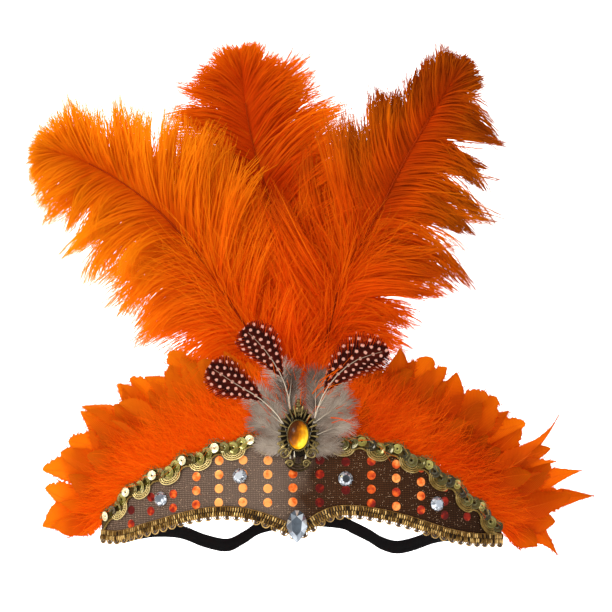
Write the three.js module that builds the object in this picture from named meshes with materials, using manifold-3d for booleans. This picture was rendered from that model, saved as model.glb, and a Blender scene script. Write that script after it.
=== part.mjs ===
// Carnival headdress: a stiffened cloth crescent worn on the forehead, with gold braids, stones,
// a brass ornament, feather fringes, spotted feathers, three tall plumes and an elastic strap.
// Millimetres, +Z up. The wearer looks along -Y. The origin is the middle of the head opening,
// level with the tips of the crescent.

import * as THREE from 'three';
import { mergeVertices } from 'three/addons/utils/BufferGeometryUtils.js';
import Module from 'manifold-3d';

const wasm = await Module();
wasm.setup();

const DEGREE = Math.PI / 180;

// Driving dimensions of the crescent
const LEAN_BACK = 8 * DEGREE; // the whole headdress leans back on the forehead
const BAND_RADIUS = 200; // bend of the band's front face, seen from above
const BAND_HALF_LENGTH = 148; // from the middle to a tip, along the front face
const BAND_HEIGHT = 71; // middle of the upper edge above the level of the tips
const BAND_WALL = 2.5;
const FRONT_TO_SEAT = 50; // front of the band to the middle of the head opening
const GAP = 0.3; // clearance between pieces that touch

// Driving dimensions of the trims
const UPPER_BRAID_WIDTH = 9.5;
const UPPER_BRAID_THICKNESS = 2;
const UPPER_BRAID_WAVE = 24.5; // length of one wave
const UPPER_BRAID_SWING = 2.7; // how far its middle line swings to each side
const UPPER_BRAID_DROP = 4; // its middle line below the band's upper edge
const TAPE_HEIGHT = 6.5; // lower braid without its loops
const STEEPEST_TAPE = 1.1; // upright height of the tape at its steepest, per unit of its height
const LOWER_BRAID_THICKNESS = 1.8;
const PICOT_PITCH = 6.6;
const PICOT_DEPTH = 2.7;

// Driving dimensions of the stones and the ornament
const RHINESTONE_DIAMETER = 10;
const RHINESTONE_DEPTH = 3.6;
const PEAK_GEM_WIDTH = 14;
const PEAK_GEM_HEIGHT = 21.5;
const PEAK_GEM_DEPTH = 5;
const CABOCHON_WIDTH = 13.5;
const CABOCHON_HEIGHT = 19;
const CABOCHON_DEPTH = 5.5;
const ORNAMENT_WIDTH = 26;
const ORNAMENT_HEIGHT = 47;
const ORNAMENT_PLATE = 1.6;
const ORNAMENT_RELIEF = 1.3; // how far rays and scrolls stand over the plate
const BEZEL_WALL = 1.3;
const BEZEL_HEIGHT = 2.6;
const SCROLL_WIRE = 1.9;

// Driving dimensions of the feathers
const QUILL_DIAMETER = 3.6;
const QUILL_FOOT = 52; // lower end of the plume quills above the tips of the band
const QUILL_SPACING = 5.5; // from the middle quill to the others, at the foot
const SIDE_PLUME_SET_BACK = 27; // side plumes behind the front of the band, at mid height
const CENTER_PLUME_SET_BACK = 48;
const LEFT_PLUME_REACH = 174;
const LEFT_PLUME_RISE = 211;
const CENTER_PLUME_REACH = 42;
const CENTER_PLUME_RISE = 286;
const RIGHT_PLUME_REACH = 107;
const RIGHT_PLUME_RISE = 275;
const BARB_LENGTH = 75; // longest barbs of the plumes
const PLUME_LOCK_WIDTH = 34;
const PLUME_LOCK_DEPTH = 9;
const VANE_DEPTH = 8; // thickness of a plume's vane at its quill
const VANE_SHARE = 0.76; // reach of the vane as a share of the barbs beside it
const VANE_FIRST_SHARE = 0.13; // foot and tip of the vane as shares of the quill's length
const VANE_LAST_SHARE = 0.96;
const HACKLE_LENGTH = 78; // longest feathers of the fringes
const HACKLE_WIDTH = 20;
const HACKLE_DEPTH = 4;
const HACKLE_BACK_ROW = 1; // set-back of every second feather, in feather depths
const HACKLE_FRONT_ROW = 0.4;
const HACKLE_ARCH = 6; // rise of a feather's middle above the straight line to its tip
const FRINGE_TAPE_HEIGHT = 10; // from its lower edge to the band's upper edge
const FRINGE_TAPE_PROUD = 4; // its upper edge above the band
const FRINGE_TAPE_WALL = 1.5;
const FRINGE_TAPE_MOST = 0.48; // most of the band's own height that the tape may cover
const FRINGE_START = 12; // inner end of each fringe from the middle, along the band
const FRINGE_END = 145.8;
const GUINEA_VANE_WIDTH = 26;
const GUINEA_VANE_DEPTH = 2.6;
const GUINEA_QUILL = 1.8;
const DOWN_LENGTH = 30;
const DOWN_WIDTH = 12;
const DOWN_DEPTH = 2.4;

// Driving dimensions of the strap
const STRAP_WIDTH = 9;
const STRAP_THICKNESS = 1;
const STRAP_DEPTH = 50; // back of the strap behind the middle of the head opening
const STRAP_WAVE = 21; // highest part of its middle line above the tips of the band
const STRAP_END_UP = 7; // middle line of the sewn ends above the tips of the band
const STRAP_END_INSET = 9; // end of the elastic from the tip of the band
const STRAP_END_LENGTH = 12; // sewn stretch along the band

// Edges of the band: places as shares of its half length, heights as shares of its height
const BAND_EDGES = [
  { at: -1.0, top: 0.24, bottom: 0.075 },
  { at: -0.95, top: 0.315, bottom: 0.062 },
  { at: -0.9, top: 0.425, bottom: 0.05 },
  { at: -0.825, top: 0.535, bottom: 0.068 },
  { at: -0.75, top: 0.62, bottom: 0.104 },
  { at: -0.65, top: 0.695, bottom: 0.15 },
  { at: -0.55, top: 0.785, bottom: 0.2 },
  { at: -0.45, top: 0.857, bottom: 0.242 },
  { at: -0.35, top: 0.92, bottom: 0.262 },
  { at: -0.25, top: 0.965, bottom: 0.25 },
  { at: -0.15, top: 0.99, bottom: 0.195 },
  { at: -0.07, top: 1.0, bottom: 0.13 },
  { at: 0.0, top: 1.0, bottom: 0.062 },
  { at: 0.07, top: 0.997, bottom: 0.165 },
  { at: 0.15, top: 0.988, bottom: 0.258 },
  { at: 0.25, top: 0.972, bottom: 0.273 },
  { at: 0.35, top: 0.947, bottom: 0.247 },
  { at: 0.45, top: 0.9, bottom: 0.207 },
  { at: 0.55, top: 0.81, bottom: 0.152 },
  { at: 0.65, top: 0.7, bottom: 0.096 },
  { at: 0.75, top: 0.575, bottom: 0.056 },
  { at: 0.825, top: 0.46, bottom: 0.042 },
  { at: 0.9, top: 0.355, bottom: 0.04 },
  { at: 0.95, top: 0.27, bottom: 0.042 },
  { at: 1.0, top: 0.18, bottom: 0.045 },
];

// Round stones: places as shares of the band's half length and height
const RHINESTONES = [
  { at: -0.645, up: 0.43 },
  { at: -0.262, up: 0.63 },
  { at: 0.209, up: 0.603 },
  { at: 0.637, up: 0.392 },
];
const PEAK_GEM_PLACE = { at: -0.004, up: 0.165 };
const ORNAMENT_PLACE = { at: 0.0, up: 0.995 };

// Relief of the ornament: widths and sideways places as shares of its half width, heights and
// upward places as shares of its half height
const ORNAMENT_PLATE_EDGE = { rays: 12, width: 0.93, height: 0.66, up: 0.05, notch: 0.9, peak: 0.12 };
const ORNAMENT_RAY = {
  inner: { width: 0.62, height: 0.46, breadth: 0.12, top: 1.0 },
  outer: { width: 0.9, height: 0.66, breadth: 0.18, top: 0.85 },
};
const ORNAMENT_BEADS = [
  { up: 0.72, radius: 0.13 },
  { up: 0.87, radius: 0.1 },
  { up: 0.97, radius: 0.065 },
];
const ORNAMENT_SCROLLS = [
  { out: 0.66, up: -0.56, radius: 0.24 },
  { out: 0.36, up: -0.76, radius: 0.2 },
];
const ORNAMENT_FOOT = { top: -0.66, topWidth: 0.34, shoulder: -0.86, width: 0.42, bottom: -1.0 };
const ORNAMENT_SLOT = { out: 0.17, up: -0.82, width: 0.17, height: 0.07 };

// Quills of the plumes: sideways, upwards and backwards shares of the plume's reach, rise and
// set-back
const LEFT_QUILL = [
  { out: 0.0, up: 0.0, back: 0.0 },
  { out: 0.01, up: 0.2, back: 0.3 },
  { out: 0.155, up: 0.41, back: 1.0 },
  { out: 0.3, up: 0.597, back: 1.0 },
  { out: 0.4, up: 0.71, back: 0.95 },
  { out: 0.5, up: 0.8, back: 0.9 },
  { out: 0.63, up: 0.89, back: 0.85 },
  { out: 0.775, up: 0.962, back: 0.75 },
  { out: 0.915, up: 1.0, back: 0.5 },
  { out: 1.0, up: 0.965, back: 0.2 },
];
const CENTER_QUILL = [
  { out: 0.0, up: 0.0, back: 0.0 },
  { out: 0.05, up: 0.155, back: 0.42 },
  { out: 0.19, up: 0.32, back: 0.95 },
  { out: 0.33, up: 0.487, back: 1.0 },
  { out: 0.43, up: 0.56, back: 1.0 },
  { out: 0.55, up: 0.65, back: 0.98 },
  { out: 0.74, up: 0.738, back: 0.95 },
  { out: 0.86, up: 0.81, back: 0.9 },
  { out: 0.93, up: 0.875, back: 0.8 },
  { out: 0.98, up: 0.942, back: 0.62 },
  { out: 1.0, up: 1.0, back: 0.35 },
];
const RIGHT_QUILL = [
  { out: 0.0, up: 0.0, back: 0.0 },
  { out: 0.01, up: 0.157, back: 0.3 },
  { out: 0.08, up: 0.24, back: 0.7 },
  { out: 0.11, up: 0.302, back: 0.9 },
  { out: 0.18, up: 0.426, back: 1.0 },
  { out: 0.255, up: 0.498, back: 1.0 },
  { out: 0.35, up: 0.563, back: 1.0 },
  { out: 0.445, up: 0.632, back: 0.98 },
  { out: 0.6, up: 0.753, back: 0.9 },
  { out: 0.77, up: 0.865, back: 0.75 },
  { out: 0.935, up: 0.967, back: 0.5 },
  { out: 1.0, up: 1.0, back: 0.3 },
];

// Barbs of the plumes: place as a share of the quill's length, lengths on its two sides as
// shares of the longest barb
const LEFT_BARBS = [
  { at: 0.2, left: 0.64, right: 0.3 },
  { at: 0.3, left: 0.78, right: 0.44 },
  { at: 0.4, left: 0.9, right: 0.56 },
  { at: 0.5, left: 0.92, right: 0.64 },
  { at: 0.6, left: 0.92, right: 0.76 },
  { at: 0.7, left: 0.86, right: 0.74 },
  { at: 0.8, left: 0.74, right: 0.62 },
  { at: 0.9, left: 0.52, right: 0.36 },
  { at: 1.0, left: 0.4, right: 0.25 },
];
const CENTER_BARBS = [
  { at: 0.2, left: 0.48, right: 0.44 },
  { at: 0.3, left: 0.6, right: 0.54 },
  { at: 0.4, left: 0.68, right: 0.62 },
  { at: 0.5, left: 0.66, right: 0.68 },
  { at: 0.6, left: 0.7, right: 0.76 },
  { at: 0.7, left: 0.66, right: 0.8 },
  { at: 0.8, left: 0.66, right: 0.68 },
  { at: 0.9, left: 0.54, right: 0.48 },
  { at: 1.0, left: 0.38, right: 0.32 },
];
const RIGHT_BARBS = [
  { at: 0.2, left: 0.2, right: 0.6 },
  { at: 0.3, left: 0.34, right: 0.88 },
  { at: 0.4, left: 0.5, right: 0.98 },
  { at: 0.5, left: 0.62, right: 1.0 },
  { at: 0.6, left: 0.78, right: 0.96 },
  { at: 0.7, left: 0.78, right: 0.76 },
  { at: 0.8, left: 0.6, right: 0.66 },
  { at: 0.9, left: 0.38, right: 0.42 },
  { at: 1.0, left: 0.3, right: 0.3 },
];
// Locks along a plume: first and last place along the quill, angles from the quill in degrees,
// droop and greatest breadth as shares of a lock's length, and stagger as shares of its depth
const PLUME_LOCKS = {
  perSide: 9, first: 0.17, last: 0.96, offset: 0.4, rootAngle: 34, tipAngle: 60,
  droop: 0.08, breadth: 0.7, stagger: 0.3, tipStagger: 0.6,
};
// Vane of a plume: angle of its edges from the quill, and how its breadth grows from the foot
const PLUME_VANE = { steps: 12, angle: 52, footBreadth: 0.25, growth: 1.5, tip: 0.2 };

// Feathers of the fringes, from the middle to the tip of the band: root as a share of the
// fringe's length, tip as shares of the longest feather outwards, upwards and backwards
const LEFT_HACKLES = [
  { at: 0.03, out: 0.26, up: 0.62, back: -0.03 },
  { at: 0.12, out: 0.36, up: 0.72, back: -0.03 },
  { at: 0.22, out: 0.44, up: 0.78, back: -0.02 },
  { at: 0.31, out: 0.5, up: 0.8, back: 0.0 },
  { at: 0.4, out: 0.5, up: 0.72, back: 0.02 },
  { at: 0.48, out: 0.54, up: 0.72, back: 0.04 },
  { at: 0.56, out: 0.58, up: 0.68, back: 0.06 },
  { at: 0.64, out: 0.66, up: 0.66, back: 0.09 },
  { at: 0.72, out: 0.7, up: 0.56, back: 0.12 },
  { at: 0.79, out: 0.66, up: 0.42, back: 0.18 },
  { at: 0.86, out: 0.8, up: 0.27, back: 0.26 },
  { at: 0.92, out: 0.71, up: 0.14, back: 0.33 },
  { at: 0.98, out: 0.66, up: -0.03, back: 0.38 },
];
const RIGHT_HACKLES = [
  { at: 0.03, out: 0.28, up: 0.6, back: -0.03 },
  { at: 0.12, out: 0.36, up: 0.7, back: -0.03 },
  { at: 0.21, out: 0.44, up: 0.78, back: -0.02 },
  { at: 0.29, out: 0.46, up: 0.78, back: 0.0 },
  { at: 0.37, out: 0.5, up: 0.7, back: 0.02 },
  { at: 0.45, out: 0.52, up: 0.64, back: 0.04 },
  { at: 0.53, out: 0.56, up: 0.62, back: 0.06 },
  { at: 0.6, out: 0.6, up: 0.6, back: 0.09 },
  { at: 0.68, out: 0.68, up: 0.54, back: 0.12 },
  { at: 0.75, out: 0.96, up: 0.52, back: 0.15 },
  { at: 0.82, out: 0.78, up: 0.34, back: 0.24 },
  { at: 0.88, out: 0.95, up: 0.32, back: 0.32 },
  { at: 0.94, out: 0.98, up: 0.15, back: 0.38 },
  { at: 0.98, out: 0.62, up: -0.2, back: 0.4 },
];

// Spotted feathers: path of the quill as shares of the ornament's height from its middle, and
// where the spotted vane starts along it
const GUINEA_PATHS = {
  guinea_left_outer: [
    { out: -0.11, up: -0.32 }, { out: -0.2, up: 0.15 }, { out: -0.52, up: 0.5 },
    { out: -0.88, up: 0.72 }, { out: -1.25, up: 0.97 },
  ],
  guinea_left_inner: [
    { out: -0.05, up: -0.32 }, { out: -0.09, up: 0.22 }, { out: -0.2, up: 0.74 },
    { out: -0.46, up: 1.18 }, { out: -0.77, up: 1.5 },
  ],
  guinea_right: [
    { out: 0.1, up: -0.32 }, { out: 0.2, up: 0.16 }, { out: 0.38, up: 0.64 },
    { out: 0.74, up: 1.02 }, { out: 1.24, up: 1.2 },
  ],
};
const GUINEA_VANES = {
  guinea_left_outer: { start: 0.5, breadth: 0.96 },
  guinea_left_inner: { start: 0.56, breadth: 0.98 },
  guinea_right: { start: 0.46, breadth: 1.1 },
};

// Down at the foot of each spotted feather: root along the quill, direction from straight up
// in degrees, and reach as a share of the longest down
const GUINEA_DOWN = {
  guinea_left_outer: [
    { at: 0.08, turn: -82, reach: 0.62 }, { at: 0.16, turn: -62, reach: 0.78 },
    { at: 0.26, turn: -50, reach: 0.7 }, { at: 0.36, turn: -38, reach: 0.5 },
  ],
  guinea_left_inner: [
    { at: 0.28, turn: -13, reach: 0.8 }, { at: 0.4, turn: 6, reach: 0.6 },
  ],
  guinea_right: [
    { at: 0.06, turn: 82, reach: 0.6 }, { at: 0.14, turn: 66, reach: 0.86 },
    { at: 0.24, turn: 54, reach: 0.86 }, { at: 0.34, turn: 30, reach: 0.8 },
    { at: 0.3, turn: 0, reach: 0.86 },
  ],
};

// Free part of the strap between its sewn ends: shares of its half span, depth and wave
const STRAP_PATH = [
  { out: -0.86, back: -0.24, up: 0.42 },
  { out: -0.77, back: -0.04, up: 0.52 },
  { out: -0.65, back: 0.24, up: 0.5 },
  { out: -0.525, back: 0.48, up: 0.235 },
  { out: -0.41, back: 0.68, up: 0.125 },
  { out: -0.32, back: 0.8, up: 0.4 },
  { out: -0.22, back: 0.9, up: 0.76 },
  { out: 0.0, back: 1.0, up: 0.98 },
  { out: 0.2, back: 0.92, up: 0.91 },
  { out: 0.275, back: 0.85, up: 0.72 },
  { out: 0.36, back: 0.74, up: 0.46 },
  { out: 0.43, back: 0.63, up: 0.2 },
  { out: 0.51, back: 0.5, up: 0.06 },
  { out: 0.6, back: 0.34, up: 0.15 },
  { out: 0.7, back: 0.13, up: 0.35 },
  { out: 0.78, back: -0.06, up: 0.42 },
  { out: 0.86, back: -0.24, up: 0.38 },
];

// Materials

const plumeOrange = new THREE.MeshStandardMaterial({ color: 0xd85a08, roughness: 0.8 });
const fringeOrange = new THREE.MeshStandardMaterial({ color: 0xe86c0a, roughness: 0.75 });
const spotted = new THREE.MeshStandardMaterial({ color: 0x3a1d18, roughness: 0.6 });
const bandCloth = new THREE.MeshStandardMaterial({ color: 0x4c382e, roughness: 0.85 });
const goldBraid = new THREE.MeshStandardMaterial({ color: 0xb08a3c, roughness: 0.4, metalness: 0.7 });
const antiqueBrass = new THREE.MeshStandardMaterial({ color: 0x7a6a3e, roughness: 0.4, metalness: 0.9 });
const amber = new THREE.MeshStandardMaterial({ color: 0xd08a10, roughness: 0.1 });
const clearStone = new THREE.MeshStandardMaterial({ color: 0xc8d0d4, roughness: 0.05 });
const blackElastic = new THREE.MeshStandardMaterial({ color: 0x0a0a0a, roughness: 0.8 });

// Shared geometry

// One closed mesh through rings of equal size, each a list of points round a convex section.
// A last ring of one point closes the mesh in a tip.
function loft(rings) {
  const positions = [];
  const faces = [];
  const starts = rings.map((ring) => {
    const start = positions.length / 3;
    ring.forEach((point) => positions.push(point.x, point.y, point.z));
    return start;
  });
  const sides = rings[0].length;
  for (let i = 0; i < rings.length - 1; i += 1) {
    for (let k = 0; k < sides; k += 1) {
      const next = (k + 1) % sides;
      if (rings[i + 1].length === 1) {
        faces.push(starts[i] + k, starts[i] + next, starts[i + 1]);
      } else {
        faces.push(starts[i] + k, starts[i] + next, starts[i + 1] + next);
        faces.push(starts[i] + k, starts[i + 1] + next, starts[i + 1] + k);
      }
    }
  }
  for (let k = 1; k < sides - 1; k += 1) {
    faces.push(starts[0], starts[0] + k + 1, starts[0] + k);
    if (rings[rings.length - 1].length > 1) {
      const last = starts[rings.length - 1];
      faces.push(last, last + k, last + k + 1);
    }
  }
  return outward(positions, faces);
}

// A geometry whose faces point out, whichever way round its rings were drawn.
function outward(positions, faces) {
  const at = (i) => new THREE.Vector3().fromArray(positions, 3 * i);
  let volume = 0;
  for (let i = 0; i < faces.length; i += 3) {
    volume += at(faces[i]).dot(at(faces[i + 1]).cross(at(faces[i + 2])));
  }
  if (volume < 0) {
    for (let i = 0; i < faces.length; i += 3) {
      [faces[i + 1], faces[i + 2]] = [faces[i + 2], faces[i + 1]];
    }
  }
  const geometry = new THREE.BufferGeometry();
  geometry.setAttribute('position', new THREE.Float32BufferAttribute(positions, 3));
  geometry.setIndex(faces);
  return geometry;
}

function toSolid(geometry) {
  const bare = geometry.clone();
  bare.deleteAttribute('normal');
  bare.deleteAttribute('uv');
  const merged = mergeVertices(bare, 1e-4);
  return new wasm.Manifold(new wasm.Mesh({
    numProp: 3,
    vertProperties: new Float32Array(merged.attributes.position.array),
    triVerts: new Uint32Array(merged.index.array),
  }));
}

function toGeometry(solid) {
  const mesh = solid.getMesh();
  const geometry = new THREE.BufferGeometry();
  geometry.setAttribute('position', new THREE.BufferAttribute(mesh.vertProperties, 3));
  geometry.setIndex(new THREE.BufferAttribute(mesh.triVerts, 1));
  return geometry;
}

function fuse(geometries, cutters = []) {
  const joined = geometries.map(toSolid).reduce((sum, solid) => sum.add(solid));
  return toGeometry(cutters.map(toSolid).reduce((rest, solid) => rest.subtract(solid), joined));
}

// A place on the band: along its front face, up from the tips' level and out from that face.
function onBand(length, height, out) {
  const turn = length / BAND_RADIUS;
  const radius = BAND_RADIUS + out;
  const bendAxis = BAND_RADIUS - FRONT_TO_SEAT;
  return new THREE.Vector3(radius * Math.sin(turn), bendAxis - radius * Math.cos(turn), height);
}

// The value of a table's column at a place, on a smooth curve through its rows.
function smooth(rows, column, place) {
  const last = rows.length - 1;
  let i = 0;
  while (i < last - 1 && place > rows[i + 1].at) i += 1;
  const [before, low, high, after] = [rows[Math.max(i - 1, 0)], rows[i], rows[i + 1],
    rows[Math.min(i + 2, last)]];
  const span = high.at - low.at;
  const s = (place - low.at) / span;
  const slopeLow = ((high[column] - before[column]) / (high.at - before.at)) * span;
  const slopeHigh = ((after[column] - low[column]) / (after.at - low.at)) * span;
  const [s2, s3] = [s * s, s * s * s];
  return (2 * s3 - 3 * s2 + 1) * low[column] + (s3 - 2 * s2 + s) * slopeLow
    + (3 * s2 - 2 * s3) * high[column] + (s3 - s2) * slopeHigh;
}

const edgeHeight = (column, place) => BAND_HEIGHT * smooth(BAND_EDGES, column, place);

// Points along one edge of the band, evenly spaced by its own length, with its slope.
function walkEdge(column, steps) {
  const fine = 400;
  const points = [];
  for (let i = 0; i <= fine; i += 1) {
    const place = -1 + (2 * i) / fine;
    points.push(new THREE.Vector2(place * BAND_HALF_LENGTH, edgeHeight(column, place)));
  }
  const path = new THREE.Path().setFromPoints(points);
  const length = path.getLength();
  const walk = [];
  for (let i = 0; i <= steps; i += 1) {
    const point = path.getPointAt(i / steps);
    const slope = path.getTangentAt(i / steps);
    walk.push({ point, slope, distance: (length * i) / steps });
  }
  return walk;
}

// A flat strip that follows the band. Each station has a lower and an upper point.
function bandStrip(stations, inner, outer) {
  return loft(stations.map(({ low, high }) => [
    onBand(low.x, low.y, inner), onBand(low.x, low.y, outer),
    onBand(high.x, high.y, outer), onBand(high.x, high.y, inner),
  ]));
}

// Crescent and braids

function bandShape() {
  const steps = 48;
  const stations = [];
  for (let i = 0; i <= steps; i += 1) {
    const place = -1 + (2 * i) / steps;
    const length = place * BAND_HALF_LENGTH;
    stations.push({
      low: new THREE.Vector2(length, edgeHeight('bottom', place)),
      high: new THREE.Vector2(length, edgeHeight('top', place)),
    });
  }
  return bandStrip(stations, -BAND_WALL, 0);
}

// The middle line swings from side to side as the braid follows the band's upper edge.
function upperBraidShape() {
  const stations = walkEdge('top', 80).map(({ point, slope, distance }) => {
    const acrossEdge = new THREE.Vector2(-slope.y, slope.x);
    const swing = UPPER_BRAID_SWING * Math.sin((2 * Math.PI * distance) / UPPER_BRAID_WAVE);
    const middle = swing - UPPER_BRAID_DROP;
    const low = point.clone().addScaledVector(acrossEdge, middle - UPPER_BRAID_WIDTH / 2);
    const high = point.clone().addScaledVector(acrossEdge, middle + UPPER_BRAID_WIDTH / 2);
    const tapeTop = edgeHeight('bottom', low.x / BAND_HALF_LENGTH) + TAPE_HEIGHT * STEEPEST_TAPE;
    low.y = Math.max(low.y, tapeTop + 2 * GAP);
    return { low, high };
  });
  return bandStrip(stations, GAP, GAP + UPPER_BRAID_THICKNESS);
}

// Three stations for each loop: one in the notch and two on its round end.
function lowerBraidShape() {
  const edge = walkEdge('bottom', 1);
  const loops = Math.round(edge[1].distance / PICOT_PITCH);
  const stations = walkEdge('bottom', 3 * loops).map(({ point, slope }, i) => {
    const stretch = 1 / slope.x;
    const loop = i % 3 === 0 ? 0 : PICOT_DEPTH;
    return {
      low: new THREE.Vector2(point.x, point.y - loop * stretch),
      high: new THREE.Vector2(point.x, point.y + TAPE_HEIGHT * stretch),
    };
  });
  return bandStrip(stations, GAP, GAP + LOWER_BRAID_THICKNESS);
}

// Stones

// A cut stone that faces -Y: a flat back, a girdle, a crown of facets and a flat table.
function cutStone(outline, depth, { girdle = 0.28, shoulder = 0.62, shoulderSize = 0.86, table = 0.5 } = {}) {
  const ring = (size, forward) => outline.map(([x, z]) => new THREE.Vector3(x * size, -forward, z * size));
  return loft([
    ring(1, 0), ring(1, depth * girdle), ring(shoulderSize, depth * shoulder), ring(table, depth),
  ]);
}

function ovalOutline(width, height, sides) {
  const outline = [];
  for (let i = 0; i < sides; i += 1) {
    const turn = (2 * Math.PI * (i + 0.5)) / sides;
    outline.push([(width / 2) * Math.cos(turn), (height / 2) * Math.sin(turn)]);
  }
  return outline;
}

// Pear outline: a round head above a pointed foot, as shares of its width and height.
function pearOutline(width, height) {
  const right = [[0.19, 0.49], [0.36, 0.36], [0.47, 0.14], [0.49, -0.08], [0.36, -0.26], [0.16, -0.42]];
  const left = right.map(([x, z]) => [-x, z]).reverse();
  return [...right, [-0.02, -0.5], ...left].map(([x, z]) => [x * width, z * height]);
}

// Ornament: a pierced brass casting in the plane of the band's middle, facing -Y

function extrudeForward(shape, back, depth) {
  const geometry = new THREE.ExtrudeGeometry(shape, { depth, bevelEnabled: false, curveSegments: 6 });
  geometry.rotateX(Math.PI / 2);
  geometry.translate(0, -back, 0);
  return geometry;
}

function ornamentShape() {
  const halfWidth = ORNAMENT_WIDTH / 2;
  const halfHeight = ORNAMENT_HEIGHT / 2;
  const midPlate = ORNAMENT_PLATE / 2;
  const pieces = [];

  // Plate with a scalloped edge, pointed at the top
  const edge = ORNAMENT_PLATE_EDGE;
  const plate = new THREE.Shape();
  for (let i = 0; i < edge.rays * 2; i += 1) {
    const turn = (Math.PI * (i + 0.5)) / edge.rays;
    const scallop = i % 2 === 0 ? 1 : edge.notch;
    const point = 1 + edge.peak * Math.max(0, Math.sin(turn)) ** 6;
    const x = halfWidth * edge.width * scallop * Math.cos(turn);
    const z = halfHeight * (edge.height * scallop * point * Math.sin(turn) + edge.up);
    if (i === 0) plate.moveTo(x, z);
    else plate.lineTo(x, z);
  }
  plate.closePath();
  pieces.push(extrudeForward(plate, 0, ORNAMENT_PLATE));

  // Raised rays from the bezel to the scalloped edge
  const rayRing = (turn, { width, height, breadth, top }) => {
    const middle = new THREE.Vector3(
      halfWidth * width * Math.cos(turn), -midPlate, halfHeight * (height * Math.sin(turn) + edge.up),
    );
    const across = new THREE.Vector3(-Math.sin(turn), 0, Math.cos(turn));
    const half = (halfWidth * breadth) / 2;
    const crest = middle.clone();
    crest.y = -(ORNAMENT_PLATE + ORNAMENT_RELIEF) * top;
    return [
      middle.clone().addScaledVector(across, half), crest, middle.clone().addScaledVector(across, -half),
    ];
  };
  for (let i = 0; i < edge.rays; i += 1) {
    const turn = (2 * Math.PI * (i + 0.5)) / edge.rays;
    pieces.push(loft([rayRing(turn, ORNAMENT_RAY.inner), rayRing(turn, ORNAMENT_RAY.outer)]));
  }

  // Bezel wall round the stone
  const bezelSides = 20;
  const seat = ovalOutline(CABOCHON_WIDTH + 2 * GAP, CABOCHON_HEIGHT + 2 * GAP, bezelSides);
  const rim = ovalOutline(
    CABOCHON_WIDTH + 2 * (GAP + BEZEL_WALL), CABOCHON_HEIGHT + 2 * (GAP + BEZEL_WALL), bezelSides,
  );
  const points = (outline) => outline.map(([x, z]) => new THREE.Vector2(x, z));
  const bezel = new THREE.Shape(points(rim));
  bezel.holes.push(new THREE.Path(points(seat)));
  pieces.push(extrudeForward(bezel, midPlate, midPlate + BEZEL_HEIGHT));

  // Beads of the finial, one above the other
  ORNAMENT_BEADS.forEach(({ up, radius }) => {
    const bead = new THREE.SphereGeometry(radius * halfHeight, 10, 4);
    bead.translate(0, -midPlate, up * halfHeight);
    pieces.push(bead);
  });

  // Open scrolls on both sides below the stone
  [-1, 1].forEach((side) => ORNAMENT_SCROLLS.forEach(({ out, up, radius }) => {
    const loop = new THREE.TorusGeometry(radius * halfWidth, SCROLL_WIRE / 2, 5, 8);
    loop.rotateX(Math.PI / 2);
    loop.translate(side * out * halfWidth, -midPlate - SCROLL_WIRE / 8, up * halfHeight);
    pieces.push(loop);
  }));

  // Foot: a bar with two slots on a round base
  const { top, topWidth, shoulder, width, bottom } = ORNAMENT_FOOT;
  const foot = new THREE.Shape();
  foot.moveTo(-topWidth * halfWidth, top * halfHeight);
  foot.lineTo(-width * halfWidth, shoulder * halfHeight);
  const bend = 0.7 * width * halfWidth;
  foot.quadraticCurveTo(-bend, bottom * halfHeight, 0, bottom * halfHeight);
  foot.quadraticCurveTo(bend, bottom * halfHeight, width * halfWidth, shoulder * halfHeight);
  foot.lineTo(topWidth * halfWidth, top * halfHeight);
  foot.closePath();
  pieces.push(extrudeForward(foot, 0, ORNAMENT_PLATE + ORNAMENT_RELIEF / 2));
  const slots = [-1, 1].map((side) => {
    const slot = new THREE.BoxGeometry(
      ORNAMENT_SLOT.width * halfWidth, ORNAMENT_HEIGHT, ORNAMENT_SLOT.height * halfHeight,
    );
    slot.translate(side * ORNAMENT_SLOT.out * halfWidth, 0, ORNAMENT_SLOT.up * halfHeight);
    return slot;
  });
  return fuse(pieces, slots);
}

// Feathers

// Sections along a leaf: place along its spine, breadth and thickness as shares of its greatest
const HACKLE_SECTIONS = [
  { at: 0, width: 0.46, depth: 0.2 },
  { at: 0.42, width: 1, depth: 1 },
  { at: 0.8, width: 0.74, depth: 0.7 },
];
const DOWN_SECTIONS = [
  { at: 0, width: 0.22, depth: 0.3 },
  { at: 0.6, width: 1, depth: 1 },
];
const BARB_SECTIONS = [
  { at: 0.1, width: 0.3, depth: 0.4 },
  { at: 0.58, width: 1, depth: 1 },
  { at: 0.84, width: 0.62, depth: 0.62 },
];

const VANE_SECTIONS = [
  { at: 0, width: 0.3, depth: 0.7 },
  { at: 0.2, width: 0.86, depth: 1 },
  { at: 0.48, width: 1, depth: 1 },
  { at: 0.76, width: 0.78, depth: 0.8 },
  { at: 0.93, width: 0.36, depth: 0.5 },
];

// One lock of barbs, or one feather: a leaf with a diamond section that bends from its root
// through a middle point to its tip. Its breadth lies across the given facing direction.
function lock(root, middle, tip, width, depth, facing, sections) {
  const spine = new THREE.QuadraticBezierCurve3(root, middle, tip);
  const rings = sections.map((section) => {
    const point = spine.getPoint(section.at);
    const ahead = spine.getTangent(section.at);
    const across = ahead.clone().cross(facing).normalize().multiplyScalar((width / 2) * section.width);
    const proud = facing.clone().normalize().multiplyScalar((depth / 2) * section.depth);
    return [point.clone().add(across), point.clone().add(proud),
      point.clone().sub(across), point.clone().sub(proud)];
  });
  rings.push([tip.clone()]);
  return loft(rings);
}

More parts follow.
